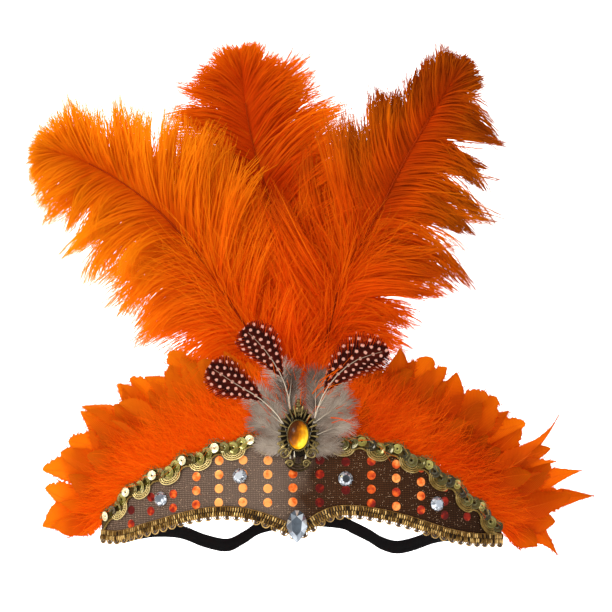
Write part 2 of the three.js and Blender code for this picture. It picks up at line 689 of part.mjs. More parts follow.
// A round quill along a curve, thinner toward its end.
function quill(curve, diameter, steps, end) {
  const sides = 6;
  const thinning = 0.7;
  const rings = [];
  for (let i = 0; i <= steps; i += 1) {
    const place = (end * i) / steps;
    const point = curve.getPointAt(place);
    const ahead = curve.getTangentAt(place);
    const across = new THREE.Vector3(0, -1, 0).cross(ahead).normalize();
    const proud = across.clone().cross(ahead).normalize();
    const radius = (diameter / 2) * (1 - thinning * (i / steps));
    const ring = [];
    for (let k = 0; k < sides; k += 1) {
      const turn = (2 * Math.PI * k) / sides;
      ring.push(point.clone().addScaledVector(across, radius * Math.cos(turn))
        .addScaledVector(proud, radius * Math.sin(turn)));
    }
    rings.push(ring);
  }
  return loft(rings);
}

// A plume: a quill with a vane whose edges sweep forward along it, and locks of barbs fused to
// the vane on both sides, alternately a little forward and back.
function plumeShape(rows, barbs, foot, reach, rise, setBack) {
  const footDepth = BAND_WALL + GAP + QUILL_DIAMETER / 2 - FRONT_TO_SEAT;
  const curve = new THREE.CatmullRomCurve3(rows.map(({ out, up, back }) => new THREE.Vector3(
    foot + out * reach,
    footDepth + back * (setBack - BAND_WALL - QUILL_DIAMETER),
    QUILL_FOOT + up * rise,
  )));
  const facing = new THREE.Vector3(0, -1, 0);
  const barbLength = (place, side) => BARB_LENGTH * smooth(barbs, side < 0 ? 'left' : 'right', place);

  // A point beside the quill, at an angle to it and a distance from it
  const beside = (place, side, angle, distance) => {
    const ahead = curve.getTangentAt(place);
    const sideways = new THREE.Vector3(-ahead.z, 0, ahead.x).normalize().multiplyScalar(-side);
    return curve.getPointAt(place)
      .addScaledVector(ahead, distance * Math.cos(angle * DEGREE))
      .addScaledVector(sideways, distance * Math.sin(angle * DEGREE));
  };
  const barbLock = (place, side, shift) => {
    const length = barbLength(place, side);
    const middle = beside(place, side, PLUME_LOCKS.rootAngle, length / 2);
    const tip = beside(place, side, PLUME_LOCKS.tipAngle, length);
    middle.y += shift;
    tip.y += shift * PLUME_LOCKS.tipStagger;
    tip.z -= PLUME_LOCKS.droop * length;
    const width = Math.min(PLUME_LOCK_WIDTH, length * PLUME_LOCKS.breadth);
    return lock(curve.getPointAt(place), middle, tip, width, PLUME_LOCK_DEPTH, facing, BARB_SECTIONS);
  };

  const pieces = [quill(curve, QUILL_DIAMETER, 14, VANE_LAST_SHARE)];
  const vane = [];
  for (let i = 0; i <= PLUME_VANE.steps; i += 1) {
    const along = i / PLUME_VANE.steps;
    const place = VANE_FIRST_SHARE + (VANE_LAST_SHARE - VANE_FIRST_SHARE) * along;
    const reached = VANE_SHARE * Math.min(1, PLUME_VANE.footBreadth + PLUME_VANE.growth * along);
    const edge = (side) => beside(place, side, PLUME_VANE.angle, reached * barbLength(place, side));
    const proud = facing.clone().multiplyScalar(VANE_DEPTH / 2);
    const middle = curve.getPointAt(place);
    vane.push([edge(-1), middle.clone().add(proud), edge(1), middle.clone().sub(proud)]);
  }
  vane.push([beside(VANE_LAST_SHARE, 1, 0, BARB_LENGTH * PLUME_VANE.tip)]);
  pieces.push(loft(vane));

  const { perSide, first, last, offset, stagger } = PLUME_LOCKS;
  [-1, 1].forEach((side) => {
    for (let i = 0; i < perSide; i += 1) {
      const along = (i + (side > 0 ? offset : 0)) / (perSide - 1 + offset);
      const shift = (i % 2 === 0 ? -stagger : stagger) * PLUME_LOCK_DEPTH;
      pieces.push(barbLock(first + (last - first) * along, side, shift));
    }
  });
  return fuse(pieces);
}

// A fringe: leaf-shaped feathers fused to a tape behind the band's upper edge.
function fringeShape(side, rows) {
  const tapeOuter = -BAND_WALL - GAP;
  const tapeInner = tapeOuter - FRINGE_TAPE_WALL;
  const start = FRINGE_START / BAND_HALF_LENGTH;
  const end = FRINGE_END / BAND_HALF_LENGTH;
  const steps = 16;
  const stations = [];
  for (let i = 0; i <= steps; i += 1) {
    const place = side * (start + ((end - start) * i) / steps);
    const length = place * BAND_HALF_LENGTH;
    const top = edgeHeight('top', place);
    const bottom = edgeHeight('bottom', place);
    const height = Math.min(FRINGE_TAPE_HEIGHT, FRINGE_TAPE_MOST * (top - bottom));
    stations.push({
      low: new THREE.Vector2(length, top - height),
      high: new THREE.Vector2(length, top + FRINGE_TAPE_PROUD),
    });
  }
  const pieces = [bandStrip(stations, tapeInner, tapeOuter)];
  rows.forEach(({ at, out, up, back }, i) => {
    const place = side * (start + (end - start) * at);
    const length = place * BAND_HALF_LENGTH;
    const root = onBand(length, edgeHeight('top', place), (tapeInner + tapeOuter) / 2);
    const facing = onBand(length, 0, 1).sub(onBand(length, 0, 0));
    const tip = root.clone().add(new THREE.Vector3(side * out, back, up).multiplyScalar(HACKLE_LENGTH));
    const middle = root.clone().lerp(tip, 0.5);
    middle.z += HACKLE_ARCH;
    middle.y += (i % 2 === 0 ? HACKLE_BACK_ROW : HACKLE_FRONT_ROW) * HACKLE_DEPTH;
    pieces.push(lock(root, middle, tip, HACKLE_WIDTH, HACKLE_DEPTH, facing, HACKLE_SECTIONS));
  });
  return fuse(pieces);
}

// A spotted feather: a quill with down at its foot and a round-ended vane.
function guineaShape(name) {
  const middleUp = ORNAMENT_PLACE.up * BAND_HEIGHT;
  const layer = -FRONT_TO_SEAT - UPPER_BRAID_THICKNESS - 2 * GAP - DOWN_DEPTH / 2;
  const curve = new THREE.CatmullRomCurve3(GUINEA_PATHS[name].map(({ out, up }) => new THREE.Vector3(
    out * ORNAMENT_HEIGHT, layer, middleUp + up * ORNAMENT_HEIGHT,
  )));
  const facing = new THREE.Vector3(0, -1, 0);
  const vane = GUINEA_VANES[name];
  const pieces = [quill(curve, GUINEA_QUILL, 8, 0.9)];
  const vaneMiddle = curve.getPointAt((vane.start + 1) / 2).multiplyScalar(2)
    .addScaledVector(curve.getPointAt(vane.start), -0.5).addScaledVector(curve.getPointAt(1), -0.5);
  pieces.push(lock(curve.getPointAt(vane.start), vaneMiddle, curve.getPointAt(1),
    GUINEA_VANE_WIDTH * vane.breadth, GUINEA_VANE_DEPTH, facing, VANE_SECTIONS));
  GUINEA_DOWN[name].forEach(({ at, turn, reach }) => {
    const root = curve.getPointAt(at);
    const heading = new THREE.Vector3(Math.sin(turn * DEGREE), 0, Math.cos(turn * DEGREE));
    const tip = root.clone().addScaledVector(heading, reach * DOWN_LENGTH);
    const middle = root.clone().lerp(tip, 0.5);
    pieces.push(lock(root, middle, tip, DOWN_WIDTH, DOWN_DEPTH, facing, DOWN_SECTIONS));
  });
  return fuse(pieces);
}

// Strap

// The ends are sewn flat to the inner face of the band.
function strapShape() {
  const inside = -BAND_WALL - GAP - STRAP_THICKNESS / 2;
  const end = BAND_HALF_LENGTH - STRAP_END_INSET;
  const sewn = [end, end - STRAP_END_LENGTH / 2, end - STRAP_END_LENGTH];
  const halfSpan = onBand(end, STRAP_END_UP, inside).x;
  const free = STRAP_PATH.map(({ out, back, up }) => new THREE.Vector3(
    out * halfSpan, back * STRAP_DEPTH, up * STRAP_WAVE,
  ));
  const path = new THREE.CatmullRomCurve3([
    ...sewn.map((length) => onBand(-length, STRAP_END_UP, inside)),
    ...free,
    ...sewn.reverse().map((length) => onBand(length, STRAP_END_UP, inside)),
  ]);
  const steps = 40;
  const rings = [];
  for (let i = 0; i <= steps; i += 1) {
    const point = path.getPointAt(i / steps);
    const ahead = path.getTangentAt(i / steps);
    const outwards = new THREE.Vector3(ahead.y, -ahead.x, 0).normalize().multiplyScalar(STRAP_THICKNESS / 2);
    const upwards = new THREE.Vector3(0, 0, STRAP_WIDTH / 2);
    rings.push([
      point.clone().add(outwards).add(upwards), point.clone().add(outwards).sub(upwards),
      point.clone().sub(outwards).sub(upwards), point.clone().sub(outwards).add(upwards),
    ]);
  }
  return loft(rings);
}

// Assembly

const headdress = new THREE.Group();
headdress.rotation.x = -LEAN_BACK;

function place(name, geometry, material, position, turn = 0) {
  const mesh = new THREE.Mesh(geometry, material);
  mesh.name = name;
  if (position) mesh.position.copy(position);
  mesh.rotation.z = turn;
  headdress.add(mesh);
}

place('band', bandShape(), bandCloth);
place('upper_braid', upperBraidShape(), goldBraid);
place('lower_braid', lowerBraidShape(), goldBraid);

RHINESTONES.forEach(({ at, up }, i) => {
  const length = at * BAND_HALF_LENGTH;
  const outline = ovalOutline(RHINESTONE_DIAMETER, RHINESTONE_DIAMETER, 12);
  place(`rhinestone_${i + 1}`, cutStone(outline, RHINESTONE_DEPTH), clearStone,
    onBand(length, up * BAND_HEIGHT, GAP), length / BAND_RADIUS);
});

const gemLength = PEAK_GEM_PLACE.at * BAND_HALF_LENGTH;
place('peak_gem', cutStone(pearOutline(PEAK_GEM_WIDTH, PEAK_GEM_HEIGHT), PEAK_GEM_DEPTH, { table: 0.4 }),
  clearStone, onBand(gemLength, PEAK_GEM_PLACE.up * BAND_HEIGHT, LOWER_BRAID_THICKNESS + 2 * GAP),
  gemLength / BAND_RADIUS);

const ornamentOut = UPPER_BRAID_THICKNESS + DOWN_DEPTH + 3 * GAP;
const ornamentLength = ORNAMENT_PLACE.at * BAND_HALF_LENGTH;
const ornamentUp = ORNAMENT_PLACE.up * BAND_HEIGHT;
place('ornament', ornamentShape(), antiqueBrass, onBand(ornamentLength, ornamentUp, ornamentOut));
place('cabochon', cutStone(ovalOutline(CABOCHON_WIDTH, CABOCHON_HEIGHT, 16), CABOCHON_DEPTH,
  { table: 0.45, shoulder: 0.7 }), amber,
onBand(ornamentLength, ornamentUp, ornamentOut + ORNAMENT_PLATE + GAP));

place('plume_left', plumeShape(LEFT_QUILL, LEFT_BARBS, -QUILL_SPACING, -LEFT_PLUME_REACH,
  LEFT_PLUME_RISE, SIDE_PLUME_SET_BACK), plumeOrange);
place('plume_center', plumeShape(CENTER_QUILL, CENTER_BARBS, 0, -CENTER_PLUME_REACH,
  CENTER_PLUME_RISE, CENTER_PLUME_SET_BACK), plumeOrange);
place('plume_right', plumeShape(RIGHT_QUILL, RIGHT_BARBS, QUILL_SPACING, RIGHT_PLUME_REACH,
  RIGHT_PLUME_RISE, SIDE_PLUME_SET_BACK), plumeOrange);

place('fringe_left', fringeShape(-1, LEFT_HACKLES), fringeOrange);
place('fringe_right', fringeShape(1, RIGHT_HACKLES), fringeOrange);

Object.keys(GUINEA_PATHS).forEach((name) => place(name, guineaShape(name), spotted));

place('elastic_strap', strapShape(), blackElastic);

export default headdress;
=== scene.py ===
"""Looks of the carnival headdress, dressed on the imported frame.

Lengths are in metres. Pieces are first laid out upright, with the band standing straight up, and
then lean back as the whole headdress does.
"""
import math

import bmesh
import bpy
import numpy as np
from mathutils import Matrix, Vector


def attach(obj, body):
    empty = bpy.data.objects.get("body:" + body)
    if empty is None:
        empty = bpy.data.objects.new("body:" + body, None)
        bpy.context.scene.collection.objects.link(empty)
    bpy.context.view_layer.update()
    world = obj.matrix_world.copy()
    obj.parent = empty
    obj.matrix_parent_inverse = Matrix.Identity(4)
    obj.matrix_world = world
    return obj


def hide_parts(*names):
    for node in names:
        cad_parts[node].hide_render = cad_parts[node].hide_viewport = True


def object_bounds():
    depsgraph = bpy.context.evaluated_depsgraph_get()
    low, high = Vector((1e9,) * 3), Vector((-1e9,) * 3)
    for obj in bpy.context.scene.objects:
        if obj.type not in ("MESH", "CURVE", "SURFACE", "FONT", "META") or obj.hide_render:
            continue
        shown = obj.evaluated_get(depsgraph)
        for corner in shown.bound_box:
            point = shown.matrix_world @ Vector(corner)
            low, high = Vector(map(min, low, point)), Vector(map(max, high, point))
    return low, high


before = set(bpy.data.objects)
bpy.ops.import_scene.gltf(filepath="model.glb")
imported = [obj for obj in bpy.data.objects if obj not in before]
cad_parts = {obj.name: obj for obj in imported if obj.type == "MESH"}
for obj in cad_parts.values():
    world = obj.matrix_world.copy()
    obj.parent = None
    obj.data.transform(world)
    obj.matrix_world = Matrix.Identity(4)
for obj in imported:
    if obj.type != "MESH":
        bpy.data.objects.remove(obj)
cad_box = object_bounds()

MM = 0.001
FORWARD = np.array([0, -1.0, 0])

# Driving dimensions of the crescent
LEAN_BACK = math.radians(8)
BAND_RADIUS = 200 * MM
BAND_HALF_LENGTH = 148 * MM
BAND_HEIGHT = 71 * MM
BAND_WALL = 2.5 * MM
FRONT_TO_SEAT = 50 * MM
BEND_AXIS = BAND_RADIUS - FRONT_TO_SEAT
GAP = 0.3 * MM
OUTLINE_STEP = 0.5 * MM  # between the places where the band's edges are measured
OUTLINE_REACH = 0.6 * MM
EDGE_SMOOTHING = 20  # points on each side that even out the line of an edge

# Driving dimensions of the plumes
QUILL_DIAMETER = 3.6 * MM
QUILL_FOOT = 52 * MM
BARB_LENGTH = 75 * MM
BARB_WIDTH = 1.15 * MM
BARB_FRIZZ = 0.7 * MM
PLUME_BARBS = 7000
BARBS_BEHIND = 8 * MM  # as far as loose barbs stand out behind the plumes
BARB_STEPS = 8
SHAFT_SHARE = 0.8  # thickness of the bare shaft, as a share of the quill at its foot
SHAFT_FORWARD = 1.2 * MM * FORWARD
OUTLINE_SHARE = 0.86  # reach of a barb across the plume, as a share of its length in the table
TUFTS = 22  # on each side of a plume
FAN_SHARE = 0.15  # last part of a quill, where the barbs close up to a round tip
FAN_FOOT = 0.7  # share of that part along which the barbs of the fan are rooted
FAN_CROSS = 0.3  # how far the last barbs lean over the tip, as a share of their turn
DROOP = 0.3
DOME_MARGIN = 2 * MM  # as far as barbs reach past the dome round the tip of a plume
LOOSE_FROM = 0.36  # place along the quill above which the loose side of a plume begins
TUFT_TURN, TUFT_CURL, TUFT_LIFT = 5, 14, 8  # how far tufts differ, in degrees
LAYER_LIFT = 16  # in degrees, between the middle and the front or back of a plume
THROUGH_SHARE = 0.5  # share of the light that goes through a barb
PLUMES = {
    "plume_left": {
        "foot": -5.5 * MM, "reach": -174 * MM, "rise": 211 * MM, "back": 27 * MM, "seed": 11,
        "down": 1300, "forward": 0.25, "turns": ((48, 92), (32, 50)), "dome": 36 * MM, "loose": -1,
        "clump": 0.4, "tip_tone": 0.1,
    },
    "plume_center": {
        "foot": 0.0, "reach": -42 * MM, "rise": 286 * MM, "back": 48 * MM, "seed": 12,
        "down": 2500, "forward": 0.9, "turns": ((46, 68), (46, 68)), "dome": 46 * MM, "loose": 0,
        "clump": 0.4, "tip_tone": -0.15,
    },
    "plume_right": {
        "foot": 5.5 * MM, "reach": 107 * MM, "rise": 275 * MM, "back": 27 * MM, "seed": 13,
        "down": 1300, "forward": 0.25, "turns": ((56, 26), (50, 88)), "dome": 31 * MM, "loose": 1,
        "clump": 0.62, "tip_tone": -0.6,
    },
}
# Quills: sideways, upward and backward shares of the plume's reach, rise and set-back
QUILLS = {
    "plume_left": [
        (0.0, 0.0, 0.0), (0.01, 0.2, 0.3), (0.155, 0.41, 1.0), (0.3, 0.597, 1.0), (0.4, 0.71, 0.95),
        (0.5, 0.8, 0.9), (0.63, 0.89, 0.85), (0.775, 0.962, 0.75), (0.915, 1.0, 0.5), (1.0, 0.965, 0.2),
    ],
    "plume_center": [
        (0.0, 0.0, 0.0), (0.05, 0.155, 0.42), (0.19, 0.32, 0.95), (0.33, 0.487, 1.0), (0.43, 0.56, 1.0),
        (0.55, 0.65, 0.98), (0.74, 0.738, 0.95), (0.86, 0.81, 0.9), (0.93, 0.875, 0.8),
        (0.98, 0.942, 0.62), (1.0, 1.0, 0.35),
    ],
    "plume_right": [
        (0.0, 0.0, 0.0), (0.01, 0.157, 0.3), (0.08, 0.24, 0.7), (0.11, 0.302, 0.9), (0.18, 0.426, 1.0),
        (0.255, 0.498, 1.0), (0.35, 0.563, 1.0), (0.445, 0.632, 0.98), (0.6, 0.753, 0.9),
        (0.77, 0.865, 0.75), (0.935, 0.967, 0.5), (1.0, 1.0, 0.3),
    ],
}
# Barbs: place along the quill, then lengths on its two sides as shares of the longest barb
BARBS = {
    "plume_left": [
        (0.05, 0.62, 0.5), (0.2, 0.7, 0.7), (0.3, 0.8, 0.84), (0.4, 0.92, 0.9), (0.5, 0.96, 0.9),
        (0.6, 0.94, 0.84), (0.7, 0.88, 0.74), (0.8, 0.76, 0.58), (0.9, 0.52, 0.42), (1.0, 0.2, 0.2),
    ],
    "plume_center": [
        (0.05, 0.56, 0.56), (0.2, 0.8, 0.8), (0.3, 0.9, 0.92), (0.4, 0.96, 1.0), (0.5, 0.98, 1.02),
        (0.6, 0.94, 1.02), (0.7, 0.86, 1.0), (0.8, 0.74, 0.88), (0.9, 0.6, 0.64), (1.0, 0.2, 0.2),
    ],
    "plume_right": [
        (0.05, 0.5, 0.52), (0.2, 0.7, 0.7), (0.3, 0.88, 0.86), (0.4, 0.92, 0.96), (0.5, 0.9, 1.04),
        (0.6, 0.76, 1.08), (0.7, 0.6, 0.96), (0.8, 0.46, 0.74), (0.9, 0.36, 0.46), (1.0, 0.2, 0.2),
    ],
}

# Driving dimensions of the fringes and the spotted feathers
HACKLE_LENGTH = 78 * MM
HACKLE_WIDTH = 20 * MM
FRINGE_START = 12 * MM
FRINGE_END = 145.8 * MM
FRINGE_TAPE_BELOW = 6 * MM
FRINGE_TAPE_PROUD = 4 * MM
FRINGE_TAPE_WALL = 1.5 * MM
FRINGE_DOWN = 5600
FOOT_BARBS = 36  # downy barbs at the foot of each fringe feather
EDGE_BARBS = 40  # loose barb ends along each edge of a fringe feather
BLADE_STATIONS = 48
# Rows of fringe feathers from the front: share of the length, how many, how far they swing in
# degrees, place out from the band, and share of the width. The first row is the main feathers.
FRINGE_LAYERS = [(1.0, 0, 0.0, -3.4 * MM, 1.1), (0.9, 19, 7.0, -2.9 * MM, 1.0),
                 (0.66, 18, 14.0, -2.2 * MM, 0.95)]
ORNAMENT_HEIGHT = 47 * MM
ORNAMENT_WIDTH = 26 * MM
ORNAMENT_UP = 0.995  # middle of the ornament as a share of the band's height
GUINEA_VANE_WIDTH = 26 * MM
SPOT_SPACING = 5.2 * MM
SPOT_ROWS = SPOT_SPACING * 0.86
DOWN_LENGTH = 30 * MM
GUINEA_DOWN = 900
GUINEA_TUFT_DOWN = 950
VANE_BARBS = 95  # on each side of a spotted vane
VANE_STEPS = 7
VANE_TURNS = (34, 56)  # degrees from the quill at a barb's root and tip
VANE_CUP = 10
VANE_RAGGED = 0.14
VANE_BARB_WIDTH = 0.62 * MM

# Main feathers of the fringes: root as a share of the fringe's length, then outward, upward and
# backward shares of the longest feather, how pointed its tip is and how far the tip hooks upward
FRINGES = {
    "fringe_left": [
        (0.03, 0.26, 0.62, -0.03, 0.7, 0.05), (0.12, 0.36, 0.72, -0.03, 0.9, 0.1),
        (0.22, 0.44, 0.78, -0.02, 0.6, -0.08), (0.31, 0.5, 0.8, 0.0, 0.55, 0.06),
        (0.4, 0.5, 0.72, 0.02, 0.8, -0.06), (0.48, 0.54, 0.72, 0.04, 0.5, 0.0),
        (0.56, 0.58, 0.68, 0.06, 0.7, 0.08), (0.64, 0.66, 0.66, 0.09, 0.6, -0.1),
        (0.72, 0.7, 0.56, 0.12, 0.9, 0.1), (0.79, 0.66, 0.42, 0.18, 0.5, 0.0),
        (0.86, 0.8, 0.27, 0.26, 0.55, -0.03), (0.92, 0.71, 0.14, 0.33, 0.5, 0.05),
        (0.98, 0.66, -0.03, 0.38, 0.9, -0.05),
    ],
    "fringe_right": [
        (0.03, 0.28, 0.6, -0.03, 0.8, 0.1), (0.12, 0.36, 0.7, -0.03, 1.1, 0.16),
        (0.21, 0.44, 0.78, -0.02, 0.9, 0.1), (0.29, 0.46, 0.78, 0.0, 0.5, -0.06),
        (0.37, 0.5, 0.7, 0.02, 0.55, 0.0), (0.45, 0.52, 0.64, 0.04, 0.9, 0.12),
        (0.53, 0.56, 0.62, 0.06, 0.45, -0.08), (0.6, 0.6, 0.6, 0.09, 0.5, 0.06),
        (0.68, 0.68, 0.54, 0.12, 0.6, -0.06), (0.75, 0.96, 0.52, 0.15, 1.3, 0.14),
        (0.82, 0.78, 0.34, 0.24, 0.7, 0.0), (0.88, 0.95, 0.32, 0.32, 1.2, 0.03),
        (0.94, 0.98, 0.15, 0.38, 1.3, 0.06), (0.98, 0.62, -0.2, 0.4, 1.3, -0.12),
    ],
}
# Spotted feathers: quill as shares of the ornament's height from its middle, where the vane
# starts, its breadth, and the down: place along the quill, direction in degrees and reach
GUINEAS = {
    "guinea_left_outer": {
        "path": [(-0.11, -0.32), (-0.2, 0.15), (-0.52, 0.5), (-0.88, 0.72), (-1.25, 0.97)],
        "start": 0.5, "breadth": 0.96,
        "down": [(0.08, -82, 0.62), (0.16, -62, 0.78), (0.26, -50, 0.7), (0.36, -38, 0.5)],
    },
    "guinea_left_inner": {
        "path": [(-0.05, -0.32), (-0.09, 0.22), (-0.2, 0.74), (-0.46, 1.18), (-0.77, 1.5)],
        "start": 0.56, "breadth": 0.98,
        "down": [(0.28, -13, 0.8), (0.4, 6, 0.6)],
    },
    "guinea_right": {
        "path": [(0.1, -0.32), (0.2, 0.16), (0.38, 0.64), (0.74, 1.02), (1.24, 1.2)],
        "start": 0.46, "breadth": 1.1,
        "down": [(0.06, 82, 0.6), (0.14, 66, 0.86), (0.24, 54, 0.86), (0.34, 30, 0.8), (0.3, 0, 0.86)],
    },
}

# Driving dimensions of the trims
UPPER_BRAID_WIDTH = 9.5 * MM
UPPER_BRAID_WAVE = 24.5 * MM
UPPER_BRAID_SWING = 2.7 * MM
UPPER_BRAID_DROP = 4 * MM
TAPE_HEIGHT = 6.5 * MM
PICOT_PITCH = 6.6 * MM
PICOT_DEPTH = 2.7 * MM
CORD_END = 0.4 * MM  # from the end of a braid to its cords
FAN_ARCS = ((8.0, 6.4), (6.6, 5.1), (5.2, 3.8))  # half width and depth in millimetres
FAN_RUNG = np.array([(2.4, 8.0), (1.8, 6.0)])  # sideways and downward, at both ends of a rung
STITCH_ROWS = (1.5 * MM, 4.6 * MM)
STITCH_HEIGHT = 3.2 * MM
# Cords of the lower braid: height, distance out and radius in millimetres, and tone
LOWER_CORDS = ((0.0, 1.3, 0.3, 0.1), (6.2, 1.3, 0.3, 0.1), (3.05, 1.5, 0.22, -0.6))
SEQUIN_DIAMETER = 6.8 * MM
SEQUIN_RINGS = ((0.2, 0.10), (0.34, 0.16), (0.62, 0.12), (0.86, 0.0), (1.0, 0.02))
# The four sequins of a wave: height and distance out in millimetres, tone and size
SEQUIN_STEPS = np.array([
    (1.4, 0.2, 1.4, 2.4), (1.9, 2.6, 1.7, 2.1), (0.5, 0.9, 0.34, 0.6), (1.25, 0.95, 1.2, 1.3),
])
DOT_DIAMETER = 5.9 * MM
DOT_PITCH_UP = 9.2 * MM
DOT_RINGS = ((1.0, 0.02), (1.0, 0.16), (0.86, 0.24))  # share of the width, millimetres out

# Foil dots: place of each column along the band, its lowest dot, how many dots, and how bright
# they are, from dark red at 0 to peach at 1. That brightness is painted light: the foil's
# reflection, which changes along the curved band.
DOT_COLUMNS = [
    (-120.0, 14.6, 2, 0.12), (-103.5, 22.8, 2, 0.25), (-86.0, 24.4, 2, 0.5), (-69.0, 26.3, 3, 0.85),
    (-53.0, 27.4, 4, 0.95), (-36.6, 27.6, 4, 1.0), (-20.0, 27.2, 4, 1.0), (-3.5, 27.6, 3, 0.7),
    (14.0, 27.4, 4, 0.0), (31.0, 35.6, 3, 0.05), (48.0, 27.2, 4, 0.5), (65.0, 25.6, 4, 0.75),
    (82.5, 23.6, 4, 0.65), (100.0, 20.6, 3, 0.1), (117.6, 20.2, 1, 0.0),
]

# Stones: rings of corners from back to front, each with its share of the outline, its share of the
# depth, its turn in steps and how many corners it has
RHINESTONE_RINGS = [(0.98, 0, 0, 24), (1.0, 0.3, 0, 24), (0.8, 0.68, 0.5, 12), (0.52, 1.0, 0, 12)]
PEAR_RINGS = [(0.97, 0, 0, 14), (1.0, 0.3, 0, 14), (0.6, 1.0, 0.5, 6)]
CABOCHON_RINGS = [
    (0.98, 0, 0, 32), (1.0, 0.35, 0, 32), (0.9, 0.62, 0.5, 16), (0.68, 0.88, 0, 16), (0.36, 1.0, 0, 16),
]

# Ornament
RAYS = 26
RAYLESS = (1.36 * math.pi, 1.64 * math.pi)  # angles of the gap over the foot
# Share of the plate's size, and millimetres out
PLATE_RINGS = ((0.9, 0.0), (0.93, 0.4), (0.93, 1.1), (0.88, 1.5), (0.6, 1.5))
# Height and radius, as shares of half the ornament's height
FINIAL_BEADS = ((0.72, 0.115), (0.86, 0.095), (0.97, 0.06))
# Place to the side and up, size as a share of half the width, and turns
SCROLLS = ((0.7, -0.5, 0.3, 1.6), (0.42, -0.78, 0.2, 1.4), (0.86, -0.26, 0.16, 1.3))
# Reach and drop as shares, and radius in millimetres
FOOT_ARCS = ((0.62, 0.3, 0.744), (0.46, 0.22, 0.6), (0.28, 0.13, 0.6))

# Elastic strap
# Corners of its section, as shares of half its thickness and half its width
STRAP_SECTION = [
    (1, 0.8), (0.7, 1), (-0.7, 1), (-1, 0.8), (-1, 0), (-1, -0.8), (-0.7, -1), (0.7, -1), (1, -0.8), (1, 0),
]
STRAP_WIDTH = 9 * MM
STRAP_THICKNESS = 1 * MM
STRAP_DEPTH = 50 * MM
STRAP_WAVE = 21 * MM
STRAP_END_UP = 7 * MM
STRAP_END_INSET = 9 * MM
STRAP_END_LENGTH = 12 * MM
STRAP_PATH = [
    (-0.86, -0.24, 0.42), (-0.77, -0.04, 0.52), (-0.65, 0.24, 0.5), (-0.525, 0.48, 0.235),
    (-0.41, 0.68, 0.125), (-0.32, 0.8, 0.4), (-0.22, 0.9, 0.76), (0.0, 1.0, 0.98), (0.2, 0.92, 0.91),
    (0.275, 0.85, 0.72), (0.36, 0.74, 0.46), (0.43, 0.63, 0.2), (0.51, 0.5, 0.06), (0.6, 0.34, 0.15),
    (0.7, 0.13, 0.35), (0.78, -0.06, 0.42), (0.86, -0.24, 0.38),
]


# Shared geometry

def lean_back(points, angle=LEAN_BACK):
    """Points of the upright headdress, leaned back. A negative angle stands them up again."""
    x, y, z = points[..., 0], points[..., 1], points[..., 2]
    c, s = math.cos(angle), math.sin(angle)
    return np.stack([x, y * c + z * s, z * c - y * s], axis=-1)


def on_band(length, height, out):
    """Upright places by length along the band's front face, height and distance out from it."""
    turn = np.asarray(length) / BAND_RADIUS
    radius = BAND_RADIUS + np.asarray(out)
    x = radius * np.sin(turn)
    y = BEND_AXIS - radius * np.cos(turn)
    return np.stack(np.broadcast_arrays(x, y, np.asarray(height) + 0 * x), axis=-1)


def unit(vectors):
    return vectors / np.maximum(np.linalg.norm(vectors, axis=-1, keepdims=True), 1e-12)


def path_length(line):
    """Distances along a line from its first point."""
    return np.concatenate([[0], np.cumsum(np.linalg.norm(np.diff(line, axis=0), axis=1))])


def curve_through(points, count):
    """A smooth curve through the points, at evenly spaced places."""
    p = np.asarray(points, float)
    p = np.concatenate([[2 * p[0] - p[1]], p, [2 * p[-1] - p[-2]]])
    s = np.linspace(0, 1, 24, endpoint=False)[:, None]
    runs = []
    for a, b, c, d in zip(p[:-3], p[1:-2], p[2:-1], p[3:]):
        runs.append(0.5 * (2 * b + (c - a) * s + (2 * a - 5 * b + 4 * c - d) * s ** 2
                           + (3 * b - a - 3 * c + d) * s ** 3))
    line = np.concatenate(runs + [p[-2:-1]])
    travelled = path_length(line)
    wanted = np.linspace(0, travelled[-1], count)
    return np.stack([np.interp(wanted, travelled, line[:, k]) for k in range(3)], axis=1)


def sample(values, place):
    """Rows of evenly spaced values, read at places from 0 to 1."""
    spot = np.clip(place, 0, 1) * (len(values) - 1)
    low = np.minimum(spot.astype(int), len(values) - 2)
    share = (spot - low)[..., None]
    return values[low] * (1 - share) + values[low + 1] * share


def node_points(node):
    """The upright corners of a CAD node."""
    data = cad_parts[node].data
    flat = np.zeros(len(data.vertices) * 3)
    data.vertices.foreach_get("co", flat)
    return lean_back(flat.reshape(-1, 3), -LEAN_BACK)


def band_outline():
    """Places along the band, and the heights of its lower and upper edges there."""
    points = node_points("band")
    length = BAND_RADIUS * np.arctan2(points[:, 0], BEND_AXIS - points[:, 1])
    rows = []
    for station in np.unique(np.round(length / OUTLINE_STEP)) * OUTLINE_STEP:
        here = points[np.abs(length - station) < OUTLINE_REACH, 2]
        rows.append((station, here.min(), here.max()))
    return np.array(rows)


BAND_OUTLINE = band_outline()


def edge_height(edge, place):
    return np.interp(place, BAND_OUTLINE[:, 0], BAND_OUTLINE[:, 1 if edge == "bottom" else 2])


def walk_edge(edge):
    """Fine points along an edge: distance from its left end, place, height and slope."""
    place = np.linspace(-BAND_HALF_LENGTH, BAND_HALF_LENGTH, 1200)
    height = np.pad(edge_height(edge, place), EDGE_SMOOTHING, mode="edge")
    window = 2 * EDGE_SMOOTHING + 1
    height = np.convolve(height, np.ones(window) / window, mode="valid")
    distance = path_length(np.stack([place, height], axis=1))
    slope = unit(np.stack([np.gradient(place), np.gradient(height)], axis=1))
    return distance, place, height, slope


EDGES = {edge: walk_edge(edge) for edge in ("top", "bottom")}


def beside_edge(edge, along, across, out):
    """Upright places by distance along an edge, distance above it and distance out."""
    distance, place, height, slope = EDGES[edge]
    along, across, out = np.broadcast_arrays(along, across, out)
    s = np.interp(along, distance, place)
    h = np.interp(along, distance, height)
    sx = np.interp(along, distance, slope[:, 0])
    sz = np.interp(along, distance, slope[:, 1])
    return on_band(s - sz * across, h + sx * across, out)


def circle(count):
    """Evenly spaced angles round a circle."""
    return 2 * np.pi * np.arange(count) / count


